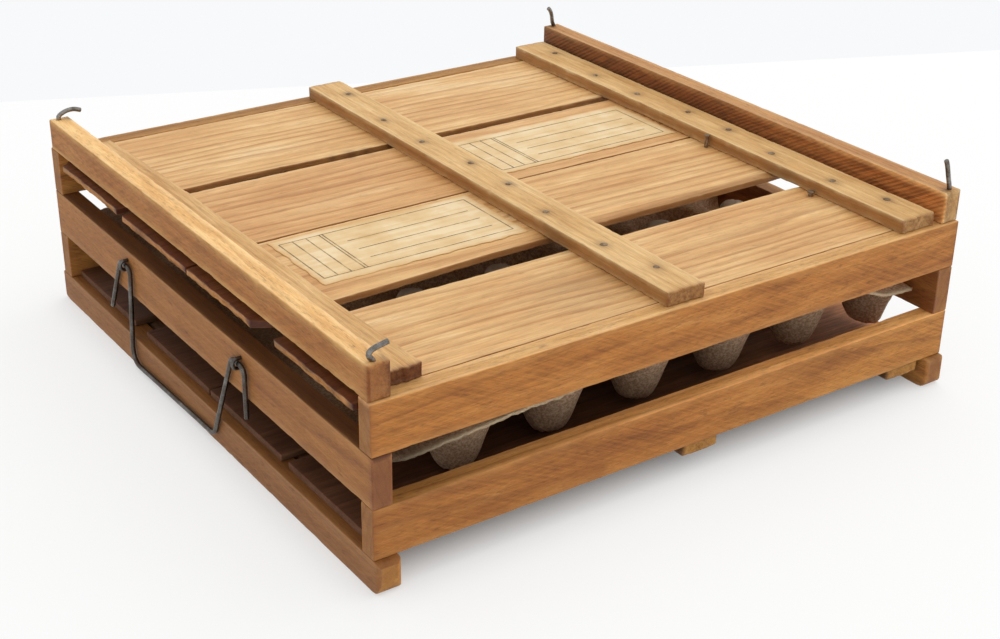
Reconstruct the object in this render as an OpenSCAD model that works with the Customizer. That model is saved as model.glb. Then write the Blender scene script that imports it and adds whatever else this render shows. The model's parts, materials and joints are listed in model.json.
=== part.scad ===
// Egg carrier crate: a stack of crossed slats pinned at the corners, with a nailed bottom panel,
// a loose tongued lid, a moulded pulp flat for the eggs and a wire carrying bail on the left side.
// X runs along the front, Y from front to back, Z up. The crate stands on its two runners.

/* [Frame] */
// Width of the crate across the front
crate_width = 330; // [300:1:380]
// Depth of the crate from front to back
crate_depth = 330; // [310:1:380]
// Height of each front, back and side slat
slat_height = 24; // [20:0.5:32]
// Thickness of the slats
slat_thickness = 9.5; // [8:0.25:12]
// Height of the two runners under the sides
runner_height = 16; // [12:0.5:24]
// Thickness of the runners
runner_thickness = 11.5; // [9:0.25:14]
// How far the runner ends stand proud of the front and back
runner_overhang = 3; // [0.5:0.25:4]
// Radius of the worn lower corners at the runner ends
runner_toe_radius = 5; // [2:0.5:8]
// Height of the two rails on top of the sides
top_rail_height = 16; // [12:0.5:24]
// Thickness of the top rails
top_rail_thickness = 10.5; // [8:0.25:13]
// How far the top rail ends sit back from the front and back
top_rail_setback = 1.5; // [0:0.25:2]
// Radius of the softened long edges of slats, rails and runners
edge_radius = 1; // [0.5:0.25:2]

/* [Corner pins] */
// Diameter of the wire of the corner pins and the bail
wire_diameter = 2.4; // [1.8:0.1:3]
// Radial play of a corner pin in its hole
pin_clearance = 0.08; // [0.04:0.01:0.1]
// Height of a pin's lower end above the ground
pin_foot_height = 1.5; // [0.5:0.25:4]
// How much a bent wire swells in its bends, in radius
bend_swell = 0.03; // [0.02:0.01:0.05]
// Length by which the straight runs of a wire reach into its bends
bend_lap = 0.25; // [0.1:0.05:0.3]
// Bend of the hooks, at the middle of the wire
hook_bend = 3; // [2:0.25:4]
// Rise of the left hooks above the rail before they turn
left_hook_rise = 3; // [2.5:0.25:6]
// Reach of the left hooks over the lid
left_hook_reach = 12; // [8:0.5:16]
// Further rise of the left hooks towards their tips
left_hook_lift = 2.5; // [1:0.25:5]
// Straight height of the front right hook above the rail
front_right_hook_rise = 9; // [5:0.5:14]
// Straight height of the back right hook above the rail
back_right_hook_rise = 6.5; // [5:0.5:14]
// Sideways lean of the right hooks
right_hook_reach = 5; // [3:0.25:8]
// Further rise of the right hooks towards their tips
right_hook_lift = 6; // [4:0.5:9]

/* [Bottom panel] */
// Thickness of the bottom boards
bottom_board_thickness = 3.6; // [3:0.1:5]
// Width of the front bottom board
bottom_front_board_width = 71.5; // [60:0.5:80]
// Width of the back bottom board
bottom_back_board_width = 73.5; // [60:0.5:80]
// Gap behind the front bottom board
bottom_front_gap = 6; // [1:0.5:10]
// Gap between the two middle bottom boards
bottom_middle_gap = 1.5; // [0.5:0.25:5]
// Gap before the back bottom board
bottom_back_gap = 14; // [1:0.5:16]
// Inset of the bottom boards' ends from the outside of the runners
bottom_end_inset = 5; // [2:0.5:7]
// Play between the boards of both panels and the front and back slats
panel_clearance = 1; // [0.5:0.25:2]
// Thickness of the battens of both panels
batten_thickness = 7; // [5:0.25:10]
// Width of the battens
batten_width = 21; // [16:0.5:26]
// Inset of the middle bottom batten's ends from the front and back
bottom_middle_batten_end_inset = 1; // [0:0.5:4]
// Inset of the left bottom batten's ends from the front and back
bottom_left_batten_end_inset = 22; // [18:0.5:22]
// Inset of the right bottom batten's ends from the front and back
bottom_right_batten_end_inset = 8; // [0:0.5:12]
// Distance of the outer bottom battens from the runners
bottom_batten_gap = 2; // [1:0.5:10]
// Offset of the middle bottom batten to the right
bottom_middle_batten_offset = 9; // [-15:0.5:15]

/* [Lid] */
// Thickness of the lid boards
lid_board_thickness = 3.5; // [3:0.1:5]
// Width of the front lid board
lid_front_board_width = 65; // [55:0.5:80]
// Width of the back lid board
lid_back_board_width = 80.5; // [60:0.5:85]
// Gap behind the front lid board
lid_front_gap = 12; // [1:0.5:14]
// Gap between the two middle lid boards
lid_middle_gap = 1; // [0.5:0.25:5]
// Gap before the back lid board
lid_back_gap = 6.5; // [1:0.5:12]
// Inset of the lid's tongues from the outside of the left rail
lid_tongue_inset = 2; // [1:0.25:5]
// Play between the lid's right ends and the right rail
lid_right_clearance = 1.5; // [1:0.25:4]
// Width of the narrow left lid batten
lid_left_batten_width = 17.5; // [14:0.5:22]
// Play between the left lid batten and the left rail
lid_left_batten_gap = 1; // [0.5:0.25:4]
// Inset of the left lid batten's ends from the inside of the slats
lid_left_batten_end_inset = 1.5; // [1:0.5:6]
// Inset of the other lid battens' ends from the front and back
lid_batten_end_inset = 3; // [1:0.5:5]
// Offset of the middle lid batten to the right
lid_middle_batten_offset = -3.5; // [-15:0.5:15]
// Distance of the right lid batten from the right rail
lid_right_batten_gap = 3; // [2:0.5:10]
// Angle by which the middle and right lid battens are nailed askew
lid_batten_skew = 0.5; // [0:0.1:1]

/* [Nails] */
// Diameter of the nail shanks
nail_diameter = 1.6; // [1.2:0.1:2]
// Diameter of the nail heads
nail_head_diameter = 3.8; // [3:0.1:5]
// Thickness of the nail heads
nail_head_height = 0.6; // [0.4:0.1:1]
// Radial play of the nails in their holes
nail_clearance = 0.05; // [0.02:0.01:0.1]
// Distance of the nails from the edges of a board
nail_edge_distance = 16.5; // [14:0.5:20]
// Sideways stagger of the nails along the wide battens
nail_stagger = 2.5; // [0:0.25:4]

/* [Egg flat] */
// Distance between neighbouring cups
cup_pitch = 50; // [48:0.5:52]
// Number of columns of cups, of which the last is trimmed at the right wall
cup_columns = 6; // [5:1:6]
// Number of rows of cups
cup_rows = 6; // [4:1:6]
// Column of cups that lies on the middle of the crate, counted from the left
middle_cup_column = 2; // [2:1:3]
// Thickness of the pulp
pulp_thickness = 2.2; // [1.6:0.1:3]
// Outside radius of a cup's floor
cup_floor_radius = 9.5; // [8:0.25:12]
// Outside radius of a cup at its waist, above which the wall is steeper
cup_waist_radius = 19.5; // [16:0.25:20.5]
// Height of the waist above the cup's floor
cup_waist_height = 18; // [14:0.5:22]
// Outside radius of a cup's mouth
cup_mouth_radius = 22.5; // [21:0.25:22.75]
// Depth of the cups below the web
cup_depth = 32; // [26:0.5:34]
// Radius of the foot of the posts between the cups
post_foot_radius = 10; // [8:0.25:10.5]
// Radius of the top of the posts
post_top_radius = 6.5; // [5:0.25:7.5]
// Height of the posts above the web
post_height = 13; // [8:0.5:14]
// Radius of the sheet's corners
sheet_corner_radius = 14; // [8:0.5:20]
// Play between the flat and the walls of the crate
flat_clearance = 2.5; // [1:0.25:5]

/* [Bail] */
// Height of the bail's hinge line above the lower edge of the side slat
bail_hinge_height = 16.5; // [10:0.5:18]
// Place of the back staple, from the middle of the side
bail_back_staple_y = 70.5; // [55:0.5:90]
// Place of the front staple, from the middle of the side
bail_front_staple_y = -52.5; // [-80:0.5:-50]
// Half the length of each arch that turns in a staple
bail_arch_half = 6; // [5:0.25:8]
// Height of the middle of the bail's bar above the ground, at its back end
bail_bar_height = 2.4; // [2:0.1:12]
// How much higher the front end of the bar lies
bail_bar_front_rise = 3; // [0:0.5:5]
// How far the front end of the bar is drawn in from the front leg's top
bail_bar_front_inset = 24; // [5:0.5:30]
// How far the back end of the bar stands out from the back leg's top
bail_bar_back_splay = 7; // [0:0.5:10]
// How far the back tail splays outwards
bail_back_tail_splay = 16; // [6:0.5:25]
// Length that the back tail hangs below the hinge line
bail_back_tail_drop = 31; // [15:0.5:34]
// Length that the front tail hangs below the hinge line
bail_front_tail_drop = 25; // [15:0.5:34]
// Bend of the arches, at the middle of the wire
bail_arch_bend = 3.5; // [2.5:0.25:4]
// Bend of the bar's two corners, at the middle of the wire
bail_bar_bend = 7; // [4:0.5:10]
// Play between the bail and the side slat
bail_gap = 0.5; // [0.3:0.05:1]
// Diameter of the staple wire
staple_diameter = 1.8; // [1.4:0.1:2.4]
// Length of the straight crown of a staple between its bends
staple_crown_flat = 0.6; // [0.4:0.1:1]
// Play of the bail inside a staple
staple_clearance = 0.3; // [0.2:0.05:0.5]
// Depth to which the staples are driven
staple_depth = 7.5; // [4:0.25:7.5]
// Gap beyond the tips of the staple prongs
staple_tip_gap = 0.5; // [0.2:0.1:1]
// Radial play of the staple prongs in the wood
staple_hole_clearance = 0.05; // [0.02:0.01:0.1]

/* [Hidden] */
$fn = 48;

// How far a hole or a hollow is cut past the face it opens through
cut_margin = 1;

half_width = crate_width / 2;
half_depth = crate_depth / 2;

// Levels of the stack, from the top of the runners to the top of the rails
runner_top = runner_height;
bottom_slat_top = runner_top + slat_height;
middle_slat_top = bottom_slat_top + slat_height;
top_slat_top = middle_slat_top + slat_height;
rail_top = top_slat_top + top_rail_height;

// Inside faces of the walls
side_inner = half_width - slat_thickness;
front_inner = half_depth - slat_thickness;
rail_inner = half_width - top_rail_thickness;
runner_inner = half_width - runner_thickness;

// A pin stands in the middle of the crossing slats at each corner
pin_x = half_width - slat_thickness / 2;
pin_y = half_depth - slat_thickness / 2;
pin_hole = wire_diameter + 2 * pin_clearance;

// The boards of both panels span this far to either side
panel_half = front_inner - panel_clearance;
panel_depth = 2 * panel_half;

// Front edge and width of each board, from the front to the back
function board_spans(front, back, gaps) =
    let (middle = (panel_depth - front - back - gaps[0] - gaps[1] - gaps[2]) / 2)
    let (second = -panel_half + front + gaps[0])
    let (third = second + middle + gaps[1])
    [
        [-panel_half, front],
        [second, middle],
        [third, middle],
        [panel_half - back, back]
    ];

lid_spans = board_spans(lid_front_board_width, lid_back_board_width,
                        [lid_front_gap, lid_middle_gap, lid_back_gap]);
bottom_spans = board_spans(bottom_front_board_width, bottom_back_board_width,
                           [bottom_front_gap, bottom_middle_gap, bottom_back_gap]);

// Lid: the boards hang below the level of the top slats, the battens lie on it
lid_left = -half_width + lid_tongue_inset;
lid_right = rail_inner - lid_right_clearance;
lid_underside = top_slat_top - lid_board_thickness;
lid_batten_top = top_slat_top + batten_thickness;
lid_batten_half = half_depth - lid_batten_end_inset;
lid_left_batten_half = front_inner - lid_left_batten_end_inset;
lid_left_batten_x = -rail_inner + lid_left_batten_gap + lid_left_batten_width / 2;
lid_right_batten_x = rail_inner - lid_right_batten_gap - batten_width / 2;
lid_battens = [[lid_left_batten_x, 0, 0], [lid_middle_batten_offset, lid_batten_skew, nail_stagger],
               [lid_right_batten_x, lid_batten_skew, nail_stagger]];

// Bottom panel: the boards lie on the runners, the battens hang below them
bottom_left = -half_width + bottom_end_inset;
bottom_right = half_width - bottom_end_inset;
bottom_top = runner_top + bottom_board_thickness;
bottom_batten_floor = runner_top - batten_thickness;
bottom_side_batten_x = runner_inner - bottom_batten_gap - batten_width / 2;
bottom_battens = [[-bottom_side_batten_x, 0, nail_stagger], [bottom_middle_batten_offset, 0, nail_stagger],
                  [bottom_side_batten_x, 0, nail_stagger]];

// Egg flat
flat_half_width = side_inner - flat_clearance;
flat_half_depth = front_inner - flat_clearance;
web_floor = bottom_top + cup_depth;
sheet_right = flat_half_width + cup_pitch;
cup_slope = (cup_waist_radius - cup_floor_radius) / cup_waist_height;
cup_inner_floor_radius = cup_floor_radius + (cup_slope - 1) * pulp_thickness;

// Bail and its staples
bail_x = -half_width - bail_gap - wire_diameter / 2;
bail_z = bottom_slat_top + bail_hinge_height;
staple_half = wire_diameter / 2 + staple_clearance + staple_diameter / 2;
staple_crown_x = bail_x - staple_half;
staple_bend = staple_half - staple_crown_flat / 2;
staple_hole = staple_diameter + 2 * staple_hole_clearance;

// The staples stand out on the left only, so the origin lies half that far from the slats' middle
origin_shift = (-staple_crown_x + staple_diameter / 2 - half_width) / 2;

frame_wood = "#b27a42";
rail_wood = "#c9945a";
board_wood = "#d9a868";
batten_wood = "#e0b878";
pulp_grey = "#74604f";
wire_grey = "#565049";
nail_grey = "#4a443e";

// Signed turn of a wire at point b, in degrees, positive to the left
function turn_at(a, b, c) =
    let (along = b - a)
    let (onward = c - b)
    atan2(along.x * onward.y - along.y * onward.x, along * onward);

// Length that the bend at point i takes from each of its two runs
function bend_cut(points, bends, i) =
    i == 0 || i == len(points) - 1
        ? 0
        : bends[i - 1] * tan(abs(turn_at(points[i - 1], points[i], points[i + 1])) / 2);

// A bent wire in the XY plane through the points, with a bend radius for each inner point
module flat_wire(points, diameter, bends) {
    along = points[1] - points[0];
    translate(points[0])
        rotate([0, 0, atan2(along.y, along.x)])
            wire_run(points, diameter, bends, 0);
}

// The stretch of a wire from point i to the next along +X, then its bend and the stretches after it
module wire_run(points, diameter, bends, i) {
    length = norm(points[i + 1] - points[i]) - bend_cut(points, bends, i) - bend_cut(points, bends, i + 1);
    start_lap = i == 0 ? 0 : bend_lap;
    end_lap = i == len(points) - 2 ? 0 : bend_lap;
    translate([-start_lap, 0, 0])
        rotate([0, 90, 0])
            cylinder(d = diameter, h = length + start_lap + end_lap);
    if (i < len(points) - 2) {
        turn = turn_at(points[i], points[i + 1], points[i + 2]);
        bend = sign(turn) * bends[i];
        translate([length, bend, 0]) {
            rotate([0, 0, turn > 0 ? -90 : 90 + turn])
                rotate_extrude(angle = abs(turn))
                    translate([bends[i], 0])
                        circle(d = diameter + 2 * bend_swell);
            rotate([0, 0, turn])
                translate([0, -bend, 0])
                    wire_run(points, diameter, bends, i + 1);
        }
    }
}

module soft_rectangle(size, radius) {
    translate([radius, 0])
        square([size.x - 2 * radius, size.y]);
    translate([0, radius])
        square([size.x, size.y - 2 * radius]);
    for (x = [radius, size.x - radius], y = [radius, size.y - radius])
        translate([x, y])
            circle(r = radius);
}

// A bar between two corners that runs along X, with softened long edges
module bar_along_x(low, high) {
    translate(low)
        rotate([90, 0, 90])
            linear_extrude(high.x - low.x)
                soft_rectangle([high.y - low.y, high.z - low.z], edge_radius);
}

// The same along Y
module bar_along_y(low, high) {
    translate([low.x, high.y, low.z])
        rotate([90, 0, 0])
            linear_extrude(high.y - low.y)
                soft_rectangle([high.x - low.x, high.z - low.z], edge_radius);
}

module pin_holes() {
    for (x = [-pin_x, pin_x], y = [-pin_y, pin_y])
        translate([x, y, -cut_margin])
            cylinder(d = pin_hole, h = rail_top + 2 * cut_margin);
}

module cross_slat(outer_y, floor_z) {
    inner_y = outer_y - sign(outer_y) * slat_thickness;
    difference() {
        bar_along_x([-half_width, min(outer_y, inner_y), floor_z],
                    [half_width, max(outer_y, inner_y), floor_z + slat_height]);
        pin_holes();
    }
}

module side_slat(outer_x) {
    inner_x = outer_x - sign(outer_x) * slat_thickness;
    difference() {
        bar_along_y([min(outer_x, inner_x), -half_depth, bottom_slat_top],
                    [max(outer_x, inner_x), half_depth, middle_slat_top]);
        pin_holes();
    }
}

module runner(outer_x) {
    inner_x = outer_x - sign(outer_x) * runner_thickness;
    low_x = min(outer_x, inner_x);
    half_length = half_depth + runner_overhang;
    difference() {
        intersection() {
            bar_along_y([low_x, -half_length, 0], [low_x + runner_thickness, half_length, runner_top]);
            translate([low_x, 0, 0])
                rotate([90, 0, 90])
                    linear_extrude(runner_thickness)
                        runner_side(half_length);
        }
        pin_holes();
    }
}

// Side view of a runner, with its worn lower corners
module runner_side(half_length) {
    translate([-half_length, runner_toe_radius])
        square([2 * half_length, runner_height - runner_toe_radius]);
    translate([-half_length + runner_toe_radius, 0])
        square([2 * (half_length - runner_toe_radius), runner_height]);
    for (y = [-half_length + runner_toe_radius, half_length - runner_toe_radius])
        translate([y, runner_toe_radius])
            circle(r = runner_toe_radius);
}

module top_rail(outer_x) {
    inner_x = outer_x - sign(outer_x) * top_rail_thickness;
    half_length = half_depth - top_rail_setback;
    difference() {
        bar_along_y([min(outer_x, inner_x), -half_length, top_slat_top],
                    [max(outer_x, inner_x), half_length, rail_top]);
        pin_holes();
    }
}

// Upright prong holes of both staples
module staple_holes() {
    for (y = [bail_back_staple_y, bail_front_staple_y], z = [bail_z - staple_half, bail_z + staple_half])
        translate([-half_width - cut_margin, y, z])
            rotate([0, 90, 0])
                cylinder(d = staple_hole, h = cut_margin + staple_depth + staple_tip_gap);
}

module left_runner() {
    color(frame_wood) runner(-half_width);
}

module right_runner() {
    color(frame_wood) runner(half_width);
}

module front_bottom_slat() {
    color(frame_wood) cross_slat(-half_depth, runner_top);
}

module back_bottom_slat() {
    color(frame_wood) cross_slat(half_depth, runner_top);
}

module left_middle_slat() {
    color(frame_wood)
        difference() {
            side_slat(-half_width);
            staple_holes();
        }
}

module right_middle_slat() {
    color(frame_wood) side_slat(half_width);
}

module front_top_slat() {
    color(frame_wood) cross_slat(-half_depth, middle_slat_top);
}

module back_top_slat() {
    color(frame_wood) cross_slat(half_depth, middle_slat_top);
}

module left_top_rail() {
    color(rail_wood) top_rail(-half_width);
}

module right_top_rail() {
    color(rail_wood) top_rail(half_width);
}

// Places of the nails that hold boards of the given spans to battens of given middles, skews and staggers
function nail_places(spans, battens) = [
    for (batten = battens)
        for (i = [0 : len(spans) - 1])
            for (side = [0, 1])
                let (y = spans[i][0] + (side == 0 ? nail_edge_distance : spans[i][1] - nail_edge_distance))
                let (stagger = side == i % 2 ? batten[2] : -batten[2])
                [batten[0] + stagger + y * tan(batten[1]), y]
];

lid_nail_places = nail_places(lid_spans, lid_battens);
bottom_nail_places = nail_places(bottom_spans, bottom_battens);

module nail_holes(places) {
    for (place = places)
        translate([place.x, place.y, -cut_margin])
            cylinder(d = nail_diameter + 2 * nail_clearance, h = rail_top + 2 * cut_margin);
}

module board(span, left, right, floor_z, thickness, places) {
    difference() {
        translate([left, span[0], floor_z])
            cube([right - left, span[1], thickness]);
        nail_holes(places);
    }
}

module batten(middle_x, half_length, width, floor_z, skew, places) {
    difference() {
        translate([middle_x, 0, 0])
            rotate([0, 0, -skew])
                bar_along_y([-width / 2, -half_length, floor_z],
                            [width / 2, half_length, floor_z + batten_thickness]);
        nail_holes(places);
    }
}

// Board 1 is the back one, as seen over the crate from the front
module lid_board(number) {
    color(board_wood)
        board(lid_spans[4 - number], lid_left, lid_right, lid_underside, lid_board_thickness,
              lid_nail_places);
}

module bottom_board(number) {
    color(board_wood)
        board(bottom_spans[4 - number], bottom_left, bottom_right, runner_top, bottom_board_thickness,
              bottom_nail_places);
}

module lid_batten_left() {
    color(batten_wood)
        batten(lid_left_batten_x, lid_left_batten_half, lid_left_batten_width, top_slat_top, 0,
               lid_nail_places);
}

module lid_batten_middle() {
    color(batten_wood)
        batten(lid_middle_batten_offset, lid_batten_half, batten_width, top_slat_top, lid_batten_skew,
               lid_nail_places);
}

module lid_batten_right() {
    color(batten_wood)
        batten(lid_right_batten_x, lid_batten_half, batten_width, top_slat_top, lid_batten_skew,
               lid_nail_places);
}

module bottom_batten(middle_x, end_inset) {
    color(batten_wood)
        batten(middle_x, half_depth - end_inset, batten_width, bottom_batten_floor, 0, bottom_nail_places);
}

// A nail along +Z from the point of its head's seat, with its shank of the given length below
module nail(length) {
    cylinder(d = nail_head_diameter, h = nail_head_height);
    translate([0, 0, -length])
        cylinder(d = nail_diameter, h = length);
}

module lid_nails() {
    color(nail_grey)
        for (place = lid_nail_places)
            translate([place.x, place.y, lid_batten_top])
                nail(batten_thickness + lid_board_thickness);
}

module bottom_nails() {
    color(nail_grey)
        for (place = bottom_nail_places)
            translate([place.x, place.y, bottom_batten_floor])
                rotate([180, 0, 0])
                    nail(batten_thickness + bottom_board_thickness);
}

// A corner pin whose hook first rises and then turns by the given reach and lift
module corner_pin(x, y, rise, reach, lift) {
    hook_start = rail_top + rise;
    color(wire_grey)
        translate([x, y, 0])
            rotate([90, 0, 0])
                flat_wire([[0, pin_foot_height], [0, hook_start], [reach, hook_start + lift]],
                          wire_diameter, [hook_bend]);
}

module pin_front_left() {
    corner_pin(-pin_x, -pin_y, left_hook_rise, left_hook_reach, left_hook_lift);
}

module pin_back_left() {
    corner_pin(-pin_x, pin_y, left_hook_rise, left_hook_reach, left_hook_lift);
}

module pin_front_right() {
    corner_pin(pin_x, -pin_y, front_right_hook_rise, -right_hook_reach, right_hook_lift);
}

module pin_back_right() {
    corner_pin(pin_x, pin_y, back_right_hook_rise, -right_hook_reach, right_hook_lift);
}

// Outline of the pulp sheet before it is trimmed at the right wall
module sheet_outline() {
    translate([-flat_half_width, -flat_half_depth])
        soft_rectangle([sheet_right + flat_half_width, 2 * flat_half_depth], sheet_corner_radius);
}

module at_cups() {
    for (column = [0 : cup_columns - 1], row = [0 : cup_rows - 1])
        translate([(column - middle_cup_column) * cup_pitch, (row - (cup_rows - 1) / 2) * cup_pitch, 0])
            children();
}

module at_posts() {
    for (column = [0 : cup_columns - 1], row = [1 : cup_rows - 1])
        translate([(column - middle_cup_column - 0.5) * cup_pitch, (row - cup_rows / 2) * cup_pitch, 0])
            children();
}

// Outside of a cup, from the bottom boards up through the web
module cup_outside() {
    rotate_extrude()
        polygon([
            [0, 0],
            [cup_floor_radius, 0],
            [cup_waist_radius, cup_waist_height],
            [cup_mouth_radius, cup_depth],
            [cup_mouth_radius, cup_depth + pulp_thickness],
            [0, cup_depth + pulp_thickness]
        ]);
}

// Hollow of a cup, one thickness of pulp inside its outside
module cup_hollow() {
    rotate_extrude()
        polygon([
            [0, pulp_thickness],
            [cup_inner_floor_radius, pulp_thickness],
            [cup_waist_radius - pulp_thickness, cup_waist_height],
            [cup_mouth_radius - pulp_thickness, cup_depth],
            [cup_mouth_radius - pulp_thickness, cup_depth + pulp_thickness + cut_margin],
            [0, cup_depth + pulp_thickness + cut_margin]
        ]);
}

// The cups hang from the web and stand on the bottom boards, and hollow posts rise between them
module egg_flat() {
    color(pulp_grey)
        intersection() {
            translate([-flat_half_width, -flat_half_depth, 0])
                cube([2 * flat_half_width, 2 * flat_half_depth, rail_top]);
            difference() {
                union() {
                    translate([0, 0, web_floor])
                        linear_extrude(pulp_thickness)
                            sheet_outline();
                    at_cups()
                        translate([0, 0, bottom_top])
                            cup_outside();
                    at_posts()
                        translate([0, 0, web_floor])
                            cylinder(r1 = post_foot_radius, r2 = post_top_radius,
                                     h = post_height + pulp_thickness);
                }
                at_cups()
                    translate([0, 0, bottom_top])
                        cup_hollow();
                at_posts()
                    translate([0, 0, web_floor - cut_margin])
                        cylinder(r1 = post_foot_radius - pulp_thickness,
                                 r2 = post_top_radius - pulp_thickness,
                                 h = post_height + cut_margin);
            }
        }
}

// Points of the staple and the bail are heights above the hinge line
module staple(y) {
    prong = staple_depth - half_width;
    translate([0, y, bail_z])
        rotate([90, 0, 0])
            flat_wire([
                          [prong, staple_half],
                          [staple_crown_x, staple_half],
                          [staple_crown_x, -staple_half],
                          [prong, -staple_half]
                      ],
                      staple_diameter, [staple_bend, staple_bend]);
}

module bail_staples() {
    color(wire_grey)
        for (y = [bail_back_staple_y, bail_front_staple_y])
            staple(y);
}

module bail_handle() {
    back_leg_y = bail_back_staple_y - bail_arch_half;
    back_tail_y = bail_back_staple_y + bail_arch_half;
    front_leg_y = bail_front_staple_y + bail_arch_half;
    front_tail_y = bail_front_staple_y - bail_arch_half;
    bar_back_z = bail_bar_height - bail_z;
    bar_front_z = bar_back_z + bail_bar_front_rise;
    color(wire_grey)
        translate([bail_x, 0, bail_z])
            rotate([90, 0, 90])
                flat_wire([
                              [back_tail_y + bail_back_tail_splay, -bail_back_tail_drop],
                              [back_tail_y, 0],
                              [back_leg_y, 0],
                              [back_leg_y + bail_bar_back_splay, bar_back_z],
                              [front_leg_y + bail_bar_front_inset, bar_front_z],
                              [front_leg_y, 0],
                              [front_tail_y, 0],
                              [front_tail_y, -bail_front_tail_drop]
                          ],
                          wire_diameter,
                          [bail_arch_bend, bail_arch_bend, bail_bar_bend, bail_bar_bend,
                           bail_arch_bend, bail_arch_bend]);
}

module place() {
    translate([origin_shift, 0, 0])
        children();
}

place() left_runner();
place() right_runner();
place() front_bottom_slat();
place() back_bottom_slat();
place() left_middle_slat();
place() right_middle_slat();
place() front_top_slat();
place() back_top_slat();
place() left_top_rail();
place() right_top_rail();
place() bottom_board(1);  // bottom_board_1
place() bottom_board(2);  // bottom_board_2
place() bottom_board(3);  // bottom_board_3
place() bottom_board(4);  // bottom_board_4
place() bottom_batten(-bottom_side_batten_x, bottom_left_batten_end_inset);  // bottom_batten_left
place() bottom_batten(bottom_middle_batten_offset, bottom_middle_batten_end_inset);  // bottom_batten_middle
place() bottom_batten(bottom_side_batten_x, bottom_right_batten_end_inset);  // bottom_batten_right
place() bottom_nails();
place() pin_front_left();
place() pin_front_right();
place() pin_back_left();
place() pin_back_right();
place() lid_board(1);  // lid_board_1
place() lid_board(2);  // lid_board_2
place() lid_board(3);  // lid_board_3
place() lid_board(4);  // lid_board_4
place() lid_batten_left();
place() lid_batten_middle();
place() lid_batten_right();
place() lid_nails();
place() egg_flat();
place() bail_staples();
place() bail_handle();
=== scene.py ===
import json
import math

import bmesh
import bpy
import numpy as np
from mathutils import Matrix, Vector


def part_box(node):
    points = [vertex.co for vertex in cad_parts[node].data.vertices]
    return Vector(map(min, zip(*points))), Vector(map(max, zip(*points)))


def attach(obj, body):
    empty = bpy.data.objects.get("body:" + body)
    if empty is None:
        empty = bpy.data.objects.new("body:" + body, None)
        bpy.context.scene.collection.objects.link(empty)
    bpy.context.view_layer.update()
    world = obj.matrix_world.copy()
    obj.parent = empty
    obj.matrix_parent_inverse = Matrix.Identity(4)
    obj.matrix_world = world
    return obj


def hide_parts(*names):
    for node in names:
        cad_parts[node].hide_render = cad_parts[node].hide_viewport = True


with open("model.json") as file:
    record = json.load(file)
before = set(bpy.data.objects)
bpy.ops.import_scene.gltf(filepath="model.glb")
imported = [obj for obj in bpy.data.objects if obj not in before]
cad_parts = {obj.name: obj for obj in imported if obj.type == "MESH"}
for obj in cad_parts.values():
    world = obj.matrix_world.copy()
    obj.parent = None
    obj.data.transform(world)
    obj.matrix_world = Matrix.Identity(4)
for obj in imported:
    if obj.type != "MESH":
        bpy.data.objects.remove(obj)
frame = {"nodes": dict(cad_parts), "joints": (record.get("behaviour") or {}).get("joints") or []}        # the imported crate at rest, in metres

mm = 0.001
scene = bpy.context.scene
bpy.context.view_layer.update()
crateMiddle = sum(corner[0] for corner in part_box("front_top_slat")) / 2 / mm    # x of the crate's middle


# Helpers

def hexColour(code, alpha=1.0):
    # sRGB hex to linear
    channels = [int(code[i:i + 2], 16) / 255 for i in (1, 3, 5)]
    return [c / 12.92 if c <= 0.04045 else ((c + 0.055) / 1.055) ** 2.4 for c in channels] + [alpha]


def pick(sockets, key):
    # a socket by number, or the live one of that name
    if isinstance(key, int):
        return sockets[key]
    return next(s for s in sockets if s.enabled and key in (s.name, s.identifier))


def put(tree, kind, feeds=None, stops=None, curve=None, **settings):
    # one node: its settings, its ramp stops or curve points, and for each input a value, a node or
    # (node, output)
    node = tree.nodes.new(kind)
    for key, value in settings.items():
        setattr(node, key, value)
    if stops:
        ramp = node.color_ramp
        while len(ramp.elements) < len(stops):
            ramp.elements.new(0.5)
        for element, (place, colour) in zip(ramp.elements, stops):
            element.position = place
            element.color = hexColour(colour) if isinstance(colour, str) else [colour] * 3 + [1]
    if curve:
        points = node.mapping.curves[0].points
        while len(points) < len(curve):
            points.new(0.5, 0.5)
        for point, place in zip(points, curve):
            point.location = place
            point.handle_type = "AUTO_CLAMPED"
        node.mapping.update()
    for key, feed in (feeds or {}).items():
        socket = pick(node.inputs, key)
        if isinstance(feed, tuple) and isinstance(feed[0], bpy.types.Node):
            tree.links.new(pick(feed[0].outputs, feed[1]), socket)
        elif isinstance(feed, bpy.types.Node):
            tree.links.new(next(s for s in feed.outputs if s.enabled), socket)
        else:
            socket.default_value = feed
    return node


def newMaterial(name):
    material = bpy.data.materials.new(name)
    material.use_nodes = True
    material.node_tree.nodes.clear()
    return material, material.node_tree


def bumps(a, b, sizeA, sizeB, seed):
    # smooth random field, about -1 to 1, with bumps of the given sizes
    table = np.random.default_rng(seed).uniform(-1, 1, (256, 256))
    a, b = np.broadcast_arrays(np.asarray(a, float) / sizeA, np.asarray(b, float) / sizeB)
    i, j = np.floor(a).astype(int), np.floor(b).astype(int)
    f, g = a - i, b - j
    f, g = f * f * (3 - 2 * f), g * g * (3 - 2 * g)
    near = table[i % 256, j % 256] * (1 - f) + table[(i + 1) % 256, j % 256] * f
    far = table[i % 256, (j + 1) % 256] * (1 - f) + table[(i + 1) % 256, (j + 1) % 256] * f
    return near * (1 - g) + far * g


def dents(a, b, sizeA, sizeB, seed):
    # the same field, from 0 to 1
    return 0.5 + 0.5 * bumps(a, b, sizeA, sizeB, seed)


def ease(value, low, high):
    # from 0 at low to 1 at high, without a kink
    t = np.clip((np.asarray(value, float) - low) / (high - low), 0, 1)
    return t * t * (3 - 2 * t)


def ringFaces(order, count):
    # faces that join each ring of points to the next one
    faces = []
    for a, b in zip(order, order[1:]):
        for j in range(count):
            n = (j + 1) % count
            faces.append((a * count + j, a * count + n, b * count + n, b * count + j))
    return faces


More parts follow.
